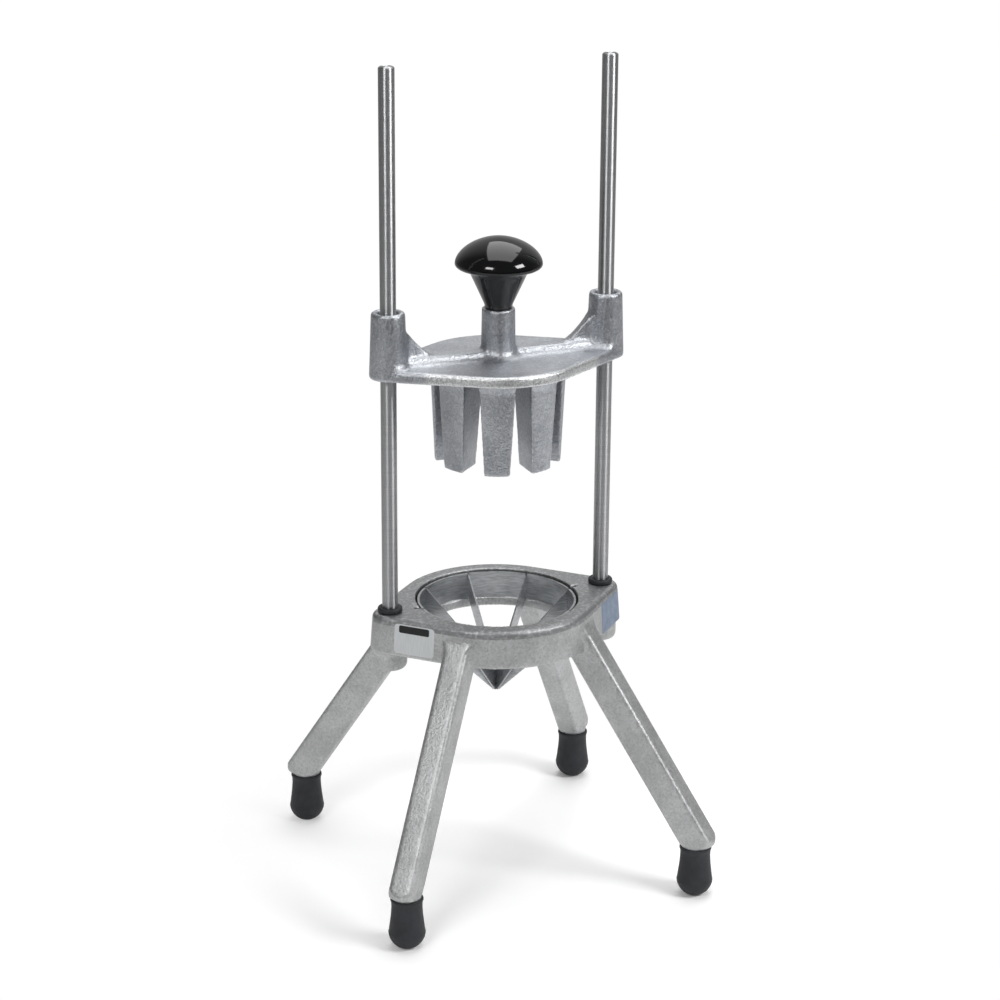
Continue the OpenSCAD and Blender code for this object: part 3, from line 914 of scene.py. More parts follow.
@dataclass
class SoftCasting:
    """A casting whose sharp CAD edges are rubbed round, as tumbling does.

    The solid is resampled on an even grid that is turned away from the casting's own directions, so
    that no long edge shows the grid's steps. A few plain passes then move every point towards the
    mean of its neighbours, which breaks the edges. In the hollow passes a point only rises along
    its own outward direction, which fills inner corners with fillets and leaves flats and edges as
    they are. Machined bores stay as they are throughout.

    Attributes:
        node: the CAD node.
        body: the body that it rides on.
        finish: the casting's finish.
        pitch: distance between the even grid's points, in metres.
        passes: passes that round every edge.
        hollow_passes: further passes that only fill hollows.
        budget: most triangles to keep.
        bores: x, y and radius of each machined upright bore.
        soft_from: height from which the casting is rubbed longer, in metres.
        soft_passes: further plain passes there.
        slots: low and high corners of slots that are cut after the tumbling.
        skew: angle in degrees by which the even grid is turned.
        skew_axis: the direction that it is turned about.
        bore_skin: how far outside a bore the points stay.
        step: how far a pass moves a point towards its neighbours' mean.
        slack: least rise in a hollow pass, as a share of the pitch.
        last_passes: plain passes after the hollow ones.
        slot_skin: how far from a slot a point counts as on its wall or rim.
        slot_shade_wear: wear of those points; it is low, so that the hollow colour lays painted
            shade in the slots.
    """

    node: str
    body: Body
    finish: Finish
    pitch: float
    passes: int
    hollow_passes: int
    budget: int
    bores: Sequence[Triple]
    soft_from: float = math.inf
    soft_passes: int = 0
    slots: Sequence[tuple[Triple, Triple]] = ()
    skew: float = 37.0
    skew_axis: Triple = (1.0, 2.0, 3.0)
    bore_skin: float = 0.3 * MM
    step: float = 0.6
    slack: float = 0.002
    last_passes: int = 2
    slot_skin: float = 0.1 * MM
    slot_shade_wear: float = 0.2

    def resampled(self) -> Mesh:
        """The CAD solid's surface on an even grid.

        Returns:
            The new mesh.
        """

        def add(holder: Object) -> None:
            """Adds the even resampling.

            Args:
                holder: the object that takes it.
            """
            remesh = holder.modifiers.new("even", "REMESH")
            remesh.mode = "VOXEL"
            remesh.voxel_size = self.pitch

        skew = Matrix.Rotation(math.radians(self.skew), 4, self.skew_axis)
        mesh = merged_copy(self.node)
        mesh.transform(skew)
        even = through_modifiers(mesh, add)
        even.transform(skew.inverted())
        return even

    def free_points(self, points: np.ndarray) -> np.ndarray:
        """Which points may move.

        Args:
            points: rows of x, y and z.

        Returns:
            A column of ones, with zeros for the points on a machined bore's wall.
        """
        free = np.ones(len(points))
        for x, y, radius in self.bores:
            away = np.hypot(points[:, 0] - x, points[:, 1] - y)
            free[away < radius + self.bore_skin] = 0.0
        return free[:, None]

    @staticmethod
    def around(points: np.ndarray, edges: np.ndarray, portion: np.ndarray) -> np.ndarray:
        """Mean of each point's neighbours.

        Args:
            points: rows of x, y and z.
            edges: rows of two point numbers.
            portion: one over the number of each point's neighbours, as a column.

        Returns:
            Rows of x, y and z.
        """
        ends = [(edges[:, 0], edges[:, 1]), (edges[:, 1], edges[:, 0])]
        total = [
            sum(np.bincount(here, points[there, axis], len(points)) for here, there in ends)
            for axis in range(3)
        ]
        return np.stack(total, axis=-1) * portion

    def rub(self, mesh: Mesh) -> None:
        """Rounds the edges and fills the hollows.

        Args:
            mesh: the evenly sampled mesh; its points are moved in place.
        """
        points, edges = points_of(mesh), edges_of(mesh)
        neighbours = np.bincount(edges.ravel(), minlength=len(points))
        portion = 1.0 / np.maximum(neighbours, 1)[:, None]
        free = self.step * self.free_points(points)

        def even_out(passes: int, weight: np.ndarray) -> None:
            """Moves the points towards their neighbours' mean."""
            for _ in range(passes):
                points[:] += weight * (self.around(points, edges, portion) - points)

        def store() -> None:
            """Puts the points back in the mesh."""
            mesh.vertices.foreach_set("co", points.ravel())
            mesh.update()

        even_out(self.passes, free)
        store()
        outward = normals_of(mesh)
        for _ in range(self.hollow_passes):
            pull = self.around(points, edges, portion) - points
            rise = np.einsum("ij,ij->i", pull, outward)[:, None]
            points += free * np.maximum(rise - self.slack * self.pitch, 0.0) * outward
        even_out(self.last_passes, free)
        even_out(self.soft_passes, free * (points[:, 2:] > self.soft_from))
        store()

    def thinned(self, mesh: Mesh) -> Mesh:
        """The same surface with fewer triangles where it is flat.

        Args:
            mesh: the casting in quads, each of which counts as two triangles.

        Returns:
            The thinner mesh.
        """

        def add(holder: Object) -> None:
            """Adds the thinning."""
            thin = holder.modifiers.new("thin", "DECIMATE")
            thin.ratio = min(1.0, self.budget / (2.0 * len(mesh.polygons)))

        return through_modifiers(mesh, add)

    def slotted(self, mesh: Mesh) -> Mesh:
        """The same casting with its slots cut cleanly, each by an upright box.

        Args:
            mesh: the casting.

        Returns:
            The cut casting.
        """
        sides = [[0, 1, 3, 2], [4, 5, 7, 6], [0, 1, 5, 4], [2, 3, 7, 6], [0, 2, 6, 4], [1, 3, 7, 5]]
        for low, high in self.slots:
            xs, ys, zs = zip(low, high)
            corners = np.array([[x, y, z] for z in zs for x in xs for y in ys])
            tool = linked("slot_tool", mesh_from("slot_tool", corners, np.array(sides)))

            def add(holder: Object) -> None:
                """Adds the cut.

                Args:
                    holder: the object that takes it.
                """
                cut = holder.modifiers.new("slot", "BOOLEAN")
                cut.operation = "DIFFERENCE"
                cut.solver = "EXACT"
                cut.object = tool

            mesh = through_modifiers(mesh, add)
            bpy.data.objects.remove(tool)
        return mesh

    def near_slots(self, points: np.ndarray) -> np.ndarray:
        """Which points lie on the walls or the rim of a slot.

        Args:
            points: rows of x, y and z.

        Returns:
            True or False for each point.
        """
        near = np.zeros(len(points), dtype=bool)
        for low, high in self.slots:
            above = points > np.array(low) - self.slot_skin
            below = points < np.array(high) + self.slot_skin
            near |= np.all(above & below, axis=1)
        return near

    def mark_sharp(self, mesh: Mesh) -> None:
        """Shades the casting smooth, apart from the slots' edges.

        Args:
            mesh: the cut casting.
        """
        shade_smooth(mesh)
        sharp = self.near_slots(points_of(mesh))[edges_of(mesh)].all(axis=1)
        layer = mesh.attributes.get("sharp_edge")
        if layer is None:
            layer = mesh.attributes.new("sharp_edge", "BOOLEAN", "EDGE")
        layer.data.foreach_set("value", sharp)

    def mark_wear(self, mesh: Mesh) -> None:
        """Stores how far each point stands out: 0.5 on a flat, 1 on an edge of 1 mm radius, 0 in a
        hollow.

        The bend along an edge is (n1 - n2).(p1 - p2) / |p1 - p2|^2, and a point takes its mean.

        Args:
            mesh: the finished mesh, which gets the attribute "wear".
        """
        points, edges, outward = points_of(mesh), edges_of(mesh), normals_of(mesh)
        step = points[edges[:, 0]] - points[edges[:, 1]]
        turn = outward[edges[:, 0]] - outward[edges[:, 1]]
        length = np.maximum(np.einsum("ij,ij->i", step, step), 1e-12)
        curve = np.einsum("ij,ij->i", turn, step) / length
        count = len(points)
        total = np.bincount(edges[:, 0], curve, count) + np.bincount(edges[:, 1], curve, count)
        mean = total / np.maximum(np.bincount(edges.ravel(), minlength=count), 1)
        wear = np.clip(0.5 + 0.5 * mean * MM, 0.0, 1.0)
        # painted shade in the slots: their walls and rims get a low wear, which lays the hollow
        # colour there
        wear[self.near_slots(points)] = self.slot_shade_wear
        mesh.attributes.new("wear", "FLOAT", "POINT").data.foreach_set("value", wear)

    def build(self) -> None:
        """Makes the soft casting in place of its CAD node."""
        even = self.resampled()
        self.rub(even)
        mesh = self.slotted(self.thinned(even))
        self.mark_sharp(mesh)
        self.mark_wear(mesh)
        show(self.node + "_casting", mesh, self.finish, self.body, [self.node])


@dataclass
class Spun:
    """A round part: a profile spun about the middle of its CAD node's box.

    Attributes:
        node: the CAD node that it replaces.
        body: the body that it rides on.
        finish: its finish.
        steps: points round the axis.
        angle: edges sharper than this many degrees stay sharp.
    """

    node: str
    body: Body
    finish: Finish
    steps: int = 96
    angle: float = 32.0

    def profile(self, radius: float, low: float, high: float) -> np.ndarray:
        """Rows of radius and height. Subclasses give the shape."""
        raise NotImplementedError

    def build(self) -> None:
        """Makes the spun piece in place of its CAD node."""
        low, high = (np.array(corner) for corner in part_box(self.node))
        middle = (low + high) / 2.0
        radius = (high[0] - low[0]) / 2.0
        points, faces = spun(self.profile(radius, low[2], high[2]), middle[:2], self.steps)
        mesh = mesh_from(self.node, points, faces)
        smooth_below(mesh, self.angle)
        show(self.node + "_spun", mesh, self.finish, self.body, [self.node])


@dataclass
class GuideRod(Spun):
    """Ground rod with a small chamfer at each end.

    Attributes:
        chamfer: width of the chamfers.
        blunt: how far their corners are broken.
    """

    chamfer: float = 0.8 * MM
    blunt: float = 0.12 * MM

    def profile(self, radius: float, low: float, high: float) -> np.ndarray:
        """Straight wall between two chamfers with broken corners.

        Args:
            radius: the rod's radius.
            low: height of its lower end.
            high: height of its upper end.

        Returns:
            Rows of radius and height.
        """
        c, b = self.chamfer, self.blunt
        return np.array(
            [
                [0.0, low],
                [radius - c, low],
                [radius - b, low + c - b],
                [radius, low + c + b],
                [radius, high - c - b],
                [radius - b, high - c + b],
                [radius - c + b, high - b],
                [radius - c - b, high],
                [0.0, high],
            ]
        )


@dataclass
class RubberFoot(Spun):
    """Rubber tip: rolled lip with a groove under it, waist, flared body and rounded sole.

    Attributes:
        stub: radius of the socket that takes the leg's stub.
        mouth: radius of the socket's flared mouth.
        mouth_h: height of the mouth.
        floor: height of the socket's floor over the sole.
        flat: radius of the sole's flat middle.
        wide: height of the widest place, as a share of the foot's height.
        lip: radius of the lip, as a share of the widest radius.
        waist: radius of the waist, as the same share.
    """

    stub: float = 7.8 * MM
    mouth: float = 8.8 * MM
    mouth_h: float = 3.0 * MM
    floor: float = 13.0 * MM
    flat: float = 2.5 * MM
    wide: float = 0.3
    lip: float = 0.887
    waist: float = 0.833

    def profile(self, radius: float, low: float, high: float) -> np.ndarray:
        """Sole, body and lip from the bottom up, then down the socket to its floor.

        Args:
            radius: the widest radius.
            low: height of the sole.
            high: height of the lip.

        Returns:
            Rows of radius and height.
        """
        tall = high - low
        wide = low + self.wide * tall
        lip, waist = self.lip * radius, self.waist * radius
        spread = (radius - self.flat, wide - low)
        sole = bend((self.flat, wide), spread, -90.0, -4.0, 16, power=1.12)
        body = np.array(
            [
                [radius, wide + 0.2 * MM],
                [radius - 0.25 * MM, wide + 1.2 * MM],
                [0.925 * radius, low + 0.47 * tall],
                [0.865 * radius, low + 0.64 * tall],
                [waist, low + 0.80 * tall],
                [waist + 0.05 * MM, low + 0.88 * tall],
                [lip - 0.30 * MM, high - 2.3 * MM],
                [lip, high - 1.7 * MM],
                [lip, high - 0.9 * MM],
                [lip - 0.3 * MM, high - 0.25 * MM],
                [lip - 0.8 * MM, high],
                [self.mouth, high],
                [self.stub, high - self.mouth_h],
                [self.stub, low + self.floor],
                [0.0, low + self.floor],
            ]
        )
        return np.concatenate([np.array([[0.0, low]]), sole, body])


@dataclass
class Bumper(Spun):
    """Rubber ring round the foot of a rod, with rounded outer edges.

    Attributes:
        bore: radius of its bore.
        edge: radius of its outer edges.
        chamfer: width of the chamfer at the bore's upper end.
    """

    bore: float = 4.82 * MM
    edge: float = 1.2 * MM
    chamfer: float = 0.3 * MM

    def profile(self, radius: float, low: float, high: float) -> np.ndarray:
        """Ring section from the bore's lower edge round the outside to its upper edge.

        Args:
            radius: the outer radius.
            low: height of its underside.
            high: height of its top.

        Returns:
            Rows of radius and height.
        """
        e, bore, c = self.edge, self.bore, self.chamfer
        outer_low = bend((radius - e, low + e), (e, e), -90.0, 0.0, 7)
        outer_high = bend((radius - e, high - e), (e, e), 0.0, 90.0, 7)
        end = np.array([[bore + c, high], [bore, high - c], [bore, low]])
        return np.concatenate([np.array([[bore, low]]), outer_low, outer_high, end])


@dataclass
class MushroomKnob(Spun):
    """Moulded knob: short foot, flared neck, rounded lip and flattened dome.

    Attributes:
        dome: height of the dome over the widest place.
        lip_w: how far the lip's curve reaches in.
        lip_h: how far it reaches down.
        throat: radius of the neck where it meets the lip's underside.
        neck: radius of the neck at the foot.
        foot: height of the foot.
        corner: radius of the curve between neck and lip.
    """

    dome: float = 16.1 * MM
    lip_w: float = 3.9 * MM
    lip_h: float = 2.8 * MM
    throat: float = 18.4 * MM
    neck: float = 8.3 * MM
    foot: float = 1.8 * MM
    corner: float = 1.3 * MM

    def profile(self, radius: float, low: float, high: float) -> np.ndarray:
        """Foot, neck with a small throat curve, lip and dome.

        Args:
            radius: the widest radius.
            low: height of the foot's underside.
            high: height of the dome's top.

        Returns:
            Rows of radius and height.
        """
        wide = high - self.dome
        under = wide - self.lip_h
        c = self.corner
        foot = np.array(
            [
                [0.0, low],
                [self.neck - 0.8 * MM, low],
                [self.neck - 0.2 * MM, low + 0.25 * MM],
                [self.neck, low + 0.9 * MM],
                [self.neck + 0.05 * MM, low + self.foot],
            ]
        )
        rise = np.linspace(0.0, 1.0, 18)[1:]
        neck_r = self.neck + (self.throat - self.neck) * rise
        neck_z = low + self.foot + (under - low - self.foot) * rise
        keep = neck_z < under - 1.6 * c
        neck = np.stack([neck_r[keep], neck_z[keep]], axis=-1)
        throat = bend((self.throat + c, under - c), (c, c), 180.0, 90.0, 6)
        lip = bend((radius - self.lip_w, wide), (self.lip_w, self.lip_h), -90.0, 0.0, 12)
        dome = bend((0.0, wide), (radius, self.dome), 5.0, 90.0, 40, power=1.11)
        dome[-1, 0] = 0.0
        return np.concatenate([foot, neck, throat, lip, dome])


@dataclass
class SmoothCopy:
    """A CAD node's own mesh with its triangles joined and its curved faces shaded smooth.

    Attributes:
        node: the CAD node.
        body: the body that it rides on.
        finish: its finish.
        angle: edges sharper than this many degrees stay sharp.
    """

    node: str
    body: Body
    finish: Finish
    angle: float = 24.0

    def build(self) -> None:
        """Makes the smooth copy in place of its CAD node."""
        mesh = merged_copy(self.node)
        smooth_below(mesh, self.angle)
        show(self.node + "_smooth", mesh, self.finish, self.body, [self.node])


@dataclass
class WallFilm:
    """A thin film on the frame's outer wall: flat from the ring to the boss, then round the boss.

    The outline is a rounded rectangle of width s and height z. A point at s from where the flat
    wall meets the boss lies on the wall's plane for s < 0, and for s > 0 on the boss's cone, both
    leaning in towards the top with the casting's draft.

    Attributes:
        name: the piece's name.
        side: the side of the frame that it is on.
        start: s at the end nearer the front, in metres.
        stop: s at the other end.
        low: height of its lower edge.
        high: height of its upper edge.
        corner: radius of its corners.
        finish: its finish.
        thick: its thickness.
        root: how deep its rim starts in the wall.
        edge: height of the rim over the wall, as a share of the thickness.
        inset: size of the first ring of full thickness, as a share of the outline's.
        ring_r: radius of the frame's round middle at the foot of the wall.
        boss_r: radius of the boss there.
        wall_low: height of the foot of the wall.
        draft: how far the wall leans in for each metre up.
        rings: rings from the outline's edge to its middle.
        spokes: points round the outline.
        angle: edges sharper than this many degrees stay sharp.
    """

    name: str
    side: Side
    start: float
    stop: float
    low: float
    high: float
    corner: float
    finish: Finish
    thick: float = 0.18 * MM
    root: float = 0.05 * MM
    edge: float = 0.7
    inset: float = 0.985
    ring_r: float = 61.7 * MM
    boss_r: float = 12.3 * MM
    wall_low: float = 151.0 * MM
    draft: float = 1.5 / 18.9
    rings: int = 14
    spokes: int = 160
    angle: float = 40.0

    def lay(self, s: np.ndarray, z: np.ndarray, proud: np.ndarray) -> np.ndarray:
        """Places points of the unrolled film on the wall.

        Args:
            s: distance along the wall from where it meets the boss.
            z: height.
            proud: distance outside the casting.

        Returns:
            Rows of x, y and z.
        """
        lean = self.draft * (z - self.wall_low)
        tilt = math.acos((self.ring_r - self.boss_r) / ROD_X)
        r = self.boss_r - lean + proud
        turn = -tilt + np.maximum(s, 0.0) / self.boss_r
        flat = np.minimum(s, 0.0)
        x = ROD_X + r * np.cos(turn) + flat * math.sin(tilt)
        y = r * np.sin(turn) + flat * math.cos(tilt)
        return np.stack([self.side.value * x, y, z], axis=-1)

    def outline(self) -> np.ndarray:
        """The rounded rectangle about its own middle, with its points evenly spaced.

        Returns:
            Rows of the two coordinates.
        """
        w, h = (self.stop - self.start) / 2.0, (self.high - self.low) / 2.0
        c = self.corner
        turns = ((1, 1, 0.0), (-1, 1, 90.0), (-1, -1, 180.0), (1, -1, 270.0))
        corners = [
            bend((sx * (w - c), sy * (h - c)), (c, c), first, first + 90.0, 8)
            for sx, sy, first in turns
        ]
        loop = np.concatenate([*corners, corners[0][:1]])
        run = np.concatenate([[0.0], np.cumsum(np.linalg.norm(np.diff(loop, axis=0), axis=1))])
        at = np.linspace(0.0, run[-1], self.spokes, endpoint=False)
        return np.stack([np.interp(at, run, loop[:, 0]), np.interp(at, run, loop[:, 1])], axis=-1)

    def build(self) -> None:
        """Makes the film: a rim out of the wall, and rings that shrink to the outline's middle."""
        outline = self.outline()
        size = np.concatenate([[1.0, 1.0], np.linspace(self.inset, 0.0, self.rings)])[:, None]
        rim = [-self.root, self.thick * self.edge]
        proud = np.concatenate([rim, np.full(self.rings, self.thick)])
        s = (self.start + self.stop) / 2.0 + size * outline[None, :, 0]
        z = (self.low + self.high) / 2.0 + size * outline[None, :, 1]
        points = self.lay(s, z, proud[:, None]).reshape(-1, 3)
        mesh = mesh_from(self.name, points, grid_faces(len(size), self.spokes, True))
        smooth_below(mesh, self.angle)
        show(self.name, mesh, self.finish, Body.BASE)


# ---------------------------------------------------------------- sub-assemblies


@dataclass
class BaseAssembly:
    """Frame casting with its feet, rods, bumpers, set screws, label and sticker.

    Attributes:
        pitch: the casting's even grid.
        opening_r: radius of the opening for the blade ring.
        rod_seat_r: radius of the bores that hold the rods.
        slot_l: how far the notches reach to either side of the opening's wall.
        slot_w: their width.
        slot_z: height of their floor.
        slot_h: height of the cut, to well above the deck.
        finish: the casting's finish.
    """

    pitch: float = 0.7 * MM
    opening_r: float = 50.0 * MM
    rod_seat_r: float = 4.8 * MM
    slot_l: float = 3.4 * MM
    slot_w: float = 2.2 * MM
    slot_z: float = 160.9 * MM
    slot_h: float = 20.0 * MM
    # the frame keeps the default painted band: painted shade on its deck
    finish: Finish = TumbledCasting(
        "tumbled_cast_frame",
        face="#cdcece",
        cloud="#bcbdbd",
        # colour of the pits and of the painted shade in the hollows
        hollow="#949596",
        relief=0.20 * MM,
    )

    def casting(self) -> SoftCasting:
        """The frame's soft casting, with its bores kept and its two notches cut.

        Returns:
            The casting, not yet built.
        """
        bores, slots = [(0.0, 0.0, self.opening_r)], []
        half, top = self.slot_w / 2.0, self.slot_z + self.slot_h
        reach = (self.opening_r - self.slot_l, self.opening_r + self.slot_l)
        for side in Side:
            bores.append((side.value * ROD_X, 0.0, self.rod_seat_r))
            left, right = sorted(side.value * end for end in reach)
            slots.append(((left, -half, self.slot_z), (right, half, top)))
        return SoftCasting(
            "base_frame",
            Body.BASE,
            self.finish,
            self.pitch,
            passes=4,
            hollow_passes=45,
            budget=160_000,
            bores=bores,
            slots=slots,
        )

    @staticmethod
    def films() -> tuple[WallFilm, WallFilm]:
        """The blank label and sticker on the frame's front.

        Returns:
            The label on the left and the sticker on the right, not yet built.
        """
        label = (-34.3 * MM, -8.1 * MM, 153.4 * MM, 171.7 * MM, 2.2 * MM)
        sticker = (-27.0 * MM, 14.0 * MM, 151.2 * MM, 170.1 * MM, 1.2 * MM)
        return (
            WallFilm("blank_foil_label", Side.LEFT, *label, FoilLabel()),
            WallFilm("blank_blue_sticker", Side.RIGHT, *sticker, BlueSticker()),
        )

    def build(self) -> None:
        """Builds and dresses everything that stands on the table."""
        self.casting().build()
        for side in Side:
            name = side.name.lower()
            GuideRod("guide_rod_" + name, Body.BASE, GroundRod(), 64).build()
            Bumper("rod_bumper_" + name, Body.BASE, MouldedRubber(), 64).build()
            for end in End:
                foot = f"foot_{end.name.lower()}_{name}"
                RubberFoot(foot, Body.BASE, MouldedRubber(), 72).build()
        SmoothCopy("rod_set_screws", Body.BASE, BlackenedSteel()).build()
        for film in self.films():
            film.build()


@dataclass
class BladeCup:
    """The ring and its four crossed blades."""

    blades: Sequence[str] = ("crosswise", "lengthwise", "diagonal_left", "diagonal_right")

    def build(self) -> None:
        """Dresses the ring and the blades in rolled strip."""
        SmoothCopy("blade_ring", Body.BASE, BladeStrip()).build()
        for blade in self.blades:
            dress("blade_" + blade, BladeStrip())


@dataclass
class PressAssembly:
    """Push block casting with its bushings and the knob.

    Attributes:
        pitch: the casting's even grid.
        plate_top: height of the plate's upper face, in metres.
        sleeve_r: radius of the bores that hold the bushings.
        stud_r: radius of the bore that holds the knob's stud.
        finish: the casting's finish.
    """

    pitch: float = 0.6 * MM
    plate_top: float = 328.2 * MM
    sleeve_r: float = 6.1 * MM
    stud_r: float = 4.8 * MM
    finish: Finish = TumbledCasting(
        "tumbled_cast_block",
        face="#c2c5ca",
        cloud="#adb0b6",
        # colour of the pits and of the painted shade in the hollows
        hollow="#85888d",
        grain_mm=1.0,
        fleck_mm=1.9,
        fleck_share=0.55,
        pit_share=0.50,
        roughness=0.39,
        edge_roughness=0.33,
        relief=0.30 * MM,
        # painted light: a lighter painted band round the plate's rim
        painted_band="#ebecec",
        painted_band_z=(321.2 * MM, 327.2 * MM),
        painted_band_x=52.0 * MM,
    )

    def build(self) -> None:
        """Builds and dresses everything that slides."""
        sleeves = [(side.value * ROD_X, 0.0, self.sleeve_r) for side in Side]
        SoftCasting(
            "push_block",
            Body.PRESS,
            self.finish,
            self.pitch,
            passes=5,
            hollow_passes=60,
            budget=180_000,
            bores=[(0.0, 0.0, self.stud_r), *sleeves],
            soft_from=self.plate_top,
            soft_passes=5,
        ).build()
        for side in Side:
            for place in ("upper", "lower"):
                bushing = f"bushing_{place}_{side.name.lower()}"
                SmoothCopy(bushing, Body.PRESS, BearingPlastic()).build()
        MushroomKnob("knob", Body.PRESS, PolishedPhenolic(), 128).build()
        dress("knob_stud", BlackenedSteel())
        dress("knob_insert", TurnedBrass())


# ---------------------------------------------------------------- studio


def stood(
    name: str,
    data: bpy.types.ID,
    place: Triple,
    right: np.ndarray,
    back: np.ndarray,
    turn: float,
) -> Object:
    """Stands a camera or a lamp somewhere. Its own axes are right, back x right and back.

    Args:
        name: its name.
        data: the camera or the lamp.
        place: where it stands, in metres.
        right: the direction on its right.
        back: the direction behind it.
        turn: a turn about its own axis after that, in degrees.

    Returns:
        The new object.
    """
    axes = np.stack([right, np.cross(back, right), back], axis=-1)
    turned = Matrix(axes.tolist()).to_4x4() @ Matrix.Rotation(math.radians(turn), 4, "Z")
    made = linked(name, data)
    made.matrix_world = Matrix.Translation(place) @ turned
    return made


@dataclass(frozen=True)
class SoftBox:
    """A rectangular soft box that lights the object and isn't seen itself.

    Attributes:
        name: its name.
        place: its middle, in metres.
        size: its width and height, in metres.
        glow: its brightness, where 1 is white.
        aim: the point that it faces.
        turn: a turn about its own axis, in degrees.
    """

    name: str
    place: Triple
    size: Pair
    glow: float
    aim: Triple = (0.0, 0.0, 0.33)
    turn: float = 0.0

    def build(self) -> None:
        """Adds the lamp, with its width level."""
        data = bpy.data.lights.new(self.name, "AREA")
        data.shape = "RECTANGLE"
        data.size, data.size_y = self.size
        data.energy = self.glow * math.pi * self.size[0] * self.size[1]
        back = np.array(self.place) - np.array(self.aim)
        back /= np.linalg.norm(back)
        right = np.array([-back[1], back[0], 0.0])
        level = np.linalg.norm(right)
        right = right / level if level > MERGE else np.array([1.0, 0.0, 0.0])
        stood(self.name, data, self.place, right, back, self.turn).visible_camera = False


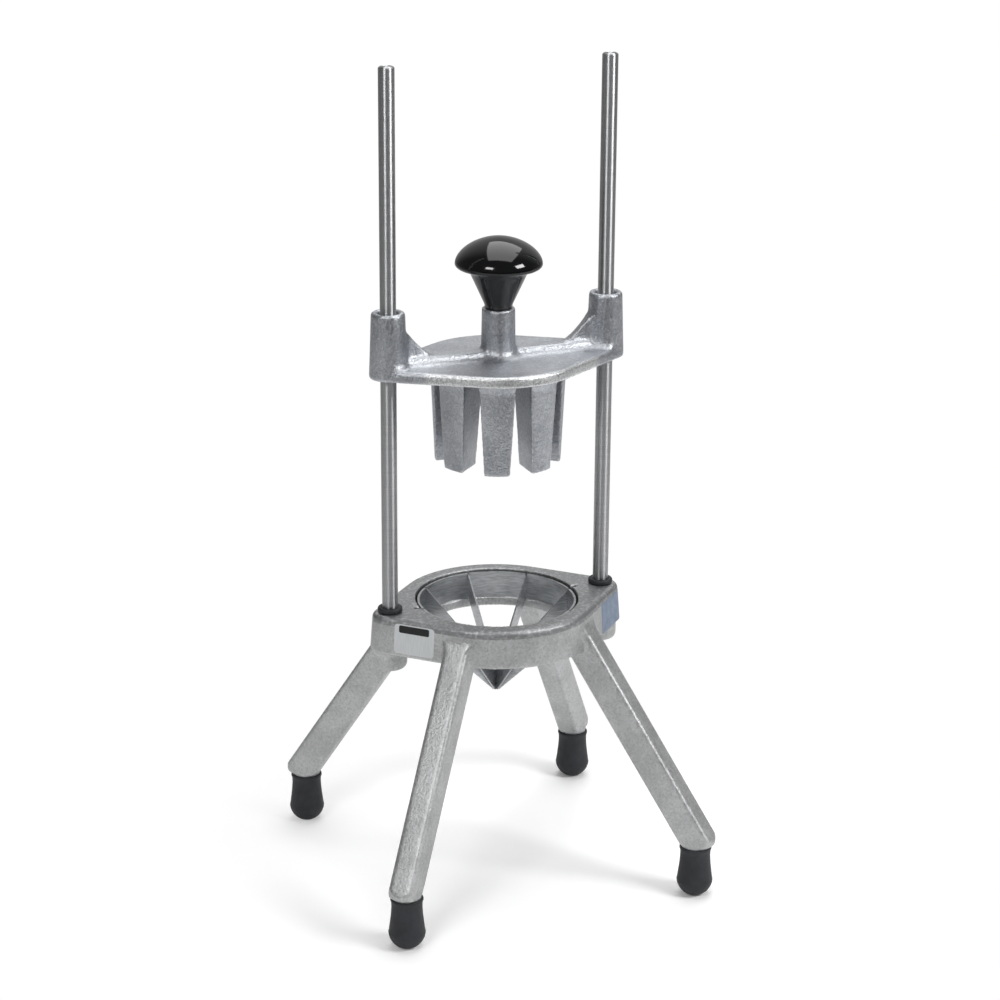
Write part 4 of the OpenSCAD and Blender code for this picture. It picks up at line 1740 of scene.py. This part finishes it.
@dataclass
class Studio:
    """Camera, lamps, floor and surroundings.

    The camera is the one that the photograph's outlines solve to. The lamps stand where their
    reflections on the knob and the rods put them: a big soft box overhead, turned a little, and two
    strong boxes in front at about 45 degrees to either side.

    Attributes:
        lens_mm: the camera's focal length.
        sensor_mm: width of its sensor.
        nearest: distance from which it sees.
        azimuth: its direction about the object, in degrees.
        elevation: its height over the horizon, in degrees.
        roll: its turn about its own axis, in degrees.
        place: where it stands, in metres.
        boxes: the lamps.
        table_r: radius of the table top, in metres.
        foot: the point of the floor that the shadow lies round.
        shadow: distances from it between which the glowing white takes over, and how much it
            covers at each.
        front_fall: distances in front between which the floor gets darker in reflections, and how
            bright it is at each.
        paper: brightness of the floor for the camera.
        glow: brightness of the glowing white.
        window: direction of the brightest surroundings.
        horizon: how near to that direction the surroundings rise, and their brightness.
    """

    lens_mm: float = 96.77
    sensor_mm: float = 36.0
    nearest: float = 0.05
    azimuth: float = -22.227
    elevation: float = 18.771
    roll: float = 0.378
    place: Triple = (-0.58122, -1.42661, 0.76027)
    boxes: Sequence[SoftBox] = (
        SoftBox("overhead_box", (0.27, 0.30, 1.40), (1.45, 0.90), 2.5, (0.27, 0.30, 0.0), 62.0),
        SoftBox("front_left_box", (-1.10, -0.98, 1.22), (0.55, 0.34), 14.0),
        SoftBox("front_right_box", (0.96, -1.10, 1.24), (0.66, 0.46), 17.0),
    )
    table_r: float = 4.5
    foot: Triple = (0.04, -0.03, 0.0)
    shadow: Rise = (0.12, 0.28, 0.05, 1.0)
    front_fall: Rise = (0.40, 0.96, 0.86, 0.10)
    paper: float = 1.15
    glow: float = 1.01
    window: Triple = (0.38, 0.76, 0.53)
    horizon: Rise = (0.45, 0.95, 0.14, 0.53)

    def camera(self) -> None:
        """Sets the camera at the photograph's viewpoint."""
        a, e = math.radians(self.azimuth), math.radians(self.elevation)
        back = np.array([math.sin(a) * math.cos(e), -math.cos(a) * math.cos(e), math.sin(e)])
        right = np.array([math.cos(a), math.sin(a), 0.0])
        data = bpy.data.cameras.new("camera")
        data.sensor_width = self.sensor_mm
        data.lens = self.lens_mm
        data.clip_start = self.nearest
        bpy.context.scene.camera = stood("camera", data, self.place, right, back, self.roll)

    def table_paper(self) -> bpy.types.Material:
        """Matte white paper, which turns to an even glowing white away from the shadow.

        Only the camera sees the glow, so the paper lights the object as paper does.

        Returns:
            The material.
        """
        paper = bpy.data.materials.new("white_table_paper")
        paper.use_nodes = True
        tree = paper.node_tree
        tree.nodes.clear()
        seen = put(tree, "LightPath").outputs["Is Camera Ray"]
        where = put(tree, "TexCoord").outputs["Object"]
        away = put(tree, "VectorMath", {"operation": "DISTANCE"}, {0: where, 1: self.foot})
        ahead = {0: where, 1: (0.0, -1.0, 0.0)}
        front = put(tree, "VectorMath", {"operation": "DOT_PRODUCT"}, ahead)
        lit = share(tree, (front.outputs["Value"], *self.front_fall))
        grey = put(tree, "Mix", {"data_type": "FLOAT"}, {0: seen, 2: lit, 3: self.paper}).outputs[0]
        colour = put(tree, "CombineColor", None, {0: grey, 1: grey, 2: grey}).outputs[0]
        sheet = put(tree, "BsdfDiffuse", None, {"Color": colour}).outputs[0]
        glow = put(tree, "Emission", None, {"Color": WHITE, "Strength": self.glow}).outputs[0]
        cover = share(tree, (seen,), (away.outputs["Value"], *self.shadow))
        blend = put(tree, "MixShader", None, {0: cover, 1: sheet, 2: glow})
        put(tree, "OutputMaterial", None, {"Surface": blend.outputs[0]})
        return paper

    def floor(self) -> None:
        """Lays the round white table top."""
        reach = np.linspace(0.0, self.table_r, 24)
        points, faces = spun(np.stack([reach, 0.0 * reach], axis=-1), (0.0, 0.0), 96)
        mesh = mesh_from("table", points, faces)
        mesh.materials.append(self.table_paper())
        table = linked("table", mesh)

    def surroundings(self) -> None:
        """White for the camera, and for the rest dim, rising towards a window behind the object."""
        world = bpy.data.worlds.new("studio")
        world.use_nodes = True
        bpy.context.scene.world = world
        tree = world.node_tree
        tree.nodes.clear()
        ray = put(tree, "LightPath").outputs
        way = put(tree, "TexCoord").outputs["Generated"]
        level = put(tree, "VectorMath", {"operation": "DOT_PRODUCT"}, {0: way, 1: self.window})
        dim = share(tree, (level.outputs["Value"], *self.horizon))
        rays = {0: ray["Is Camera Ray"], 1: ray["Is Transmission Ray"]}
        seen = put(tree, "Math", {"operation": "MAXIMUM"}, rays).outputs[0]
        strength = put(tree, "Mix", {"data_type": "FLOAT"}, {0: seen, 2: dim, 3: 1.0}).outputs[0]
        sky = put(tree, "Background", None, {"Color": WHITE, "Strength": strength})
        put(tree, "OutputWorld", None, {"Surface": sky.outputs[0]})

    def build(self) -> None:
        """Sets up the whole studio."""
        self.camera()
        for box in self.boxes:
            box.build()
        self.floor()
        self.surroundings()
        bpy.context.scene.view_settings.view_transform = "Standard"


def main() -> None:
    """Builds the sub-assemblies in order, then the studio."""
    logging.basicConfig(level=logging.INFO, format="%(name)s: %(message)s")
    for part in (BaseAssembly(), BladeCup(), PressAssembly()):
        log.info("building %s", type(part).__name__)
        part.build()
    Studio().build()


if __name__ == "__main__":
    main()
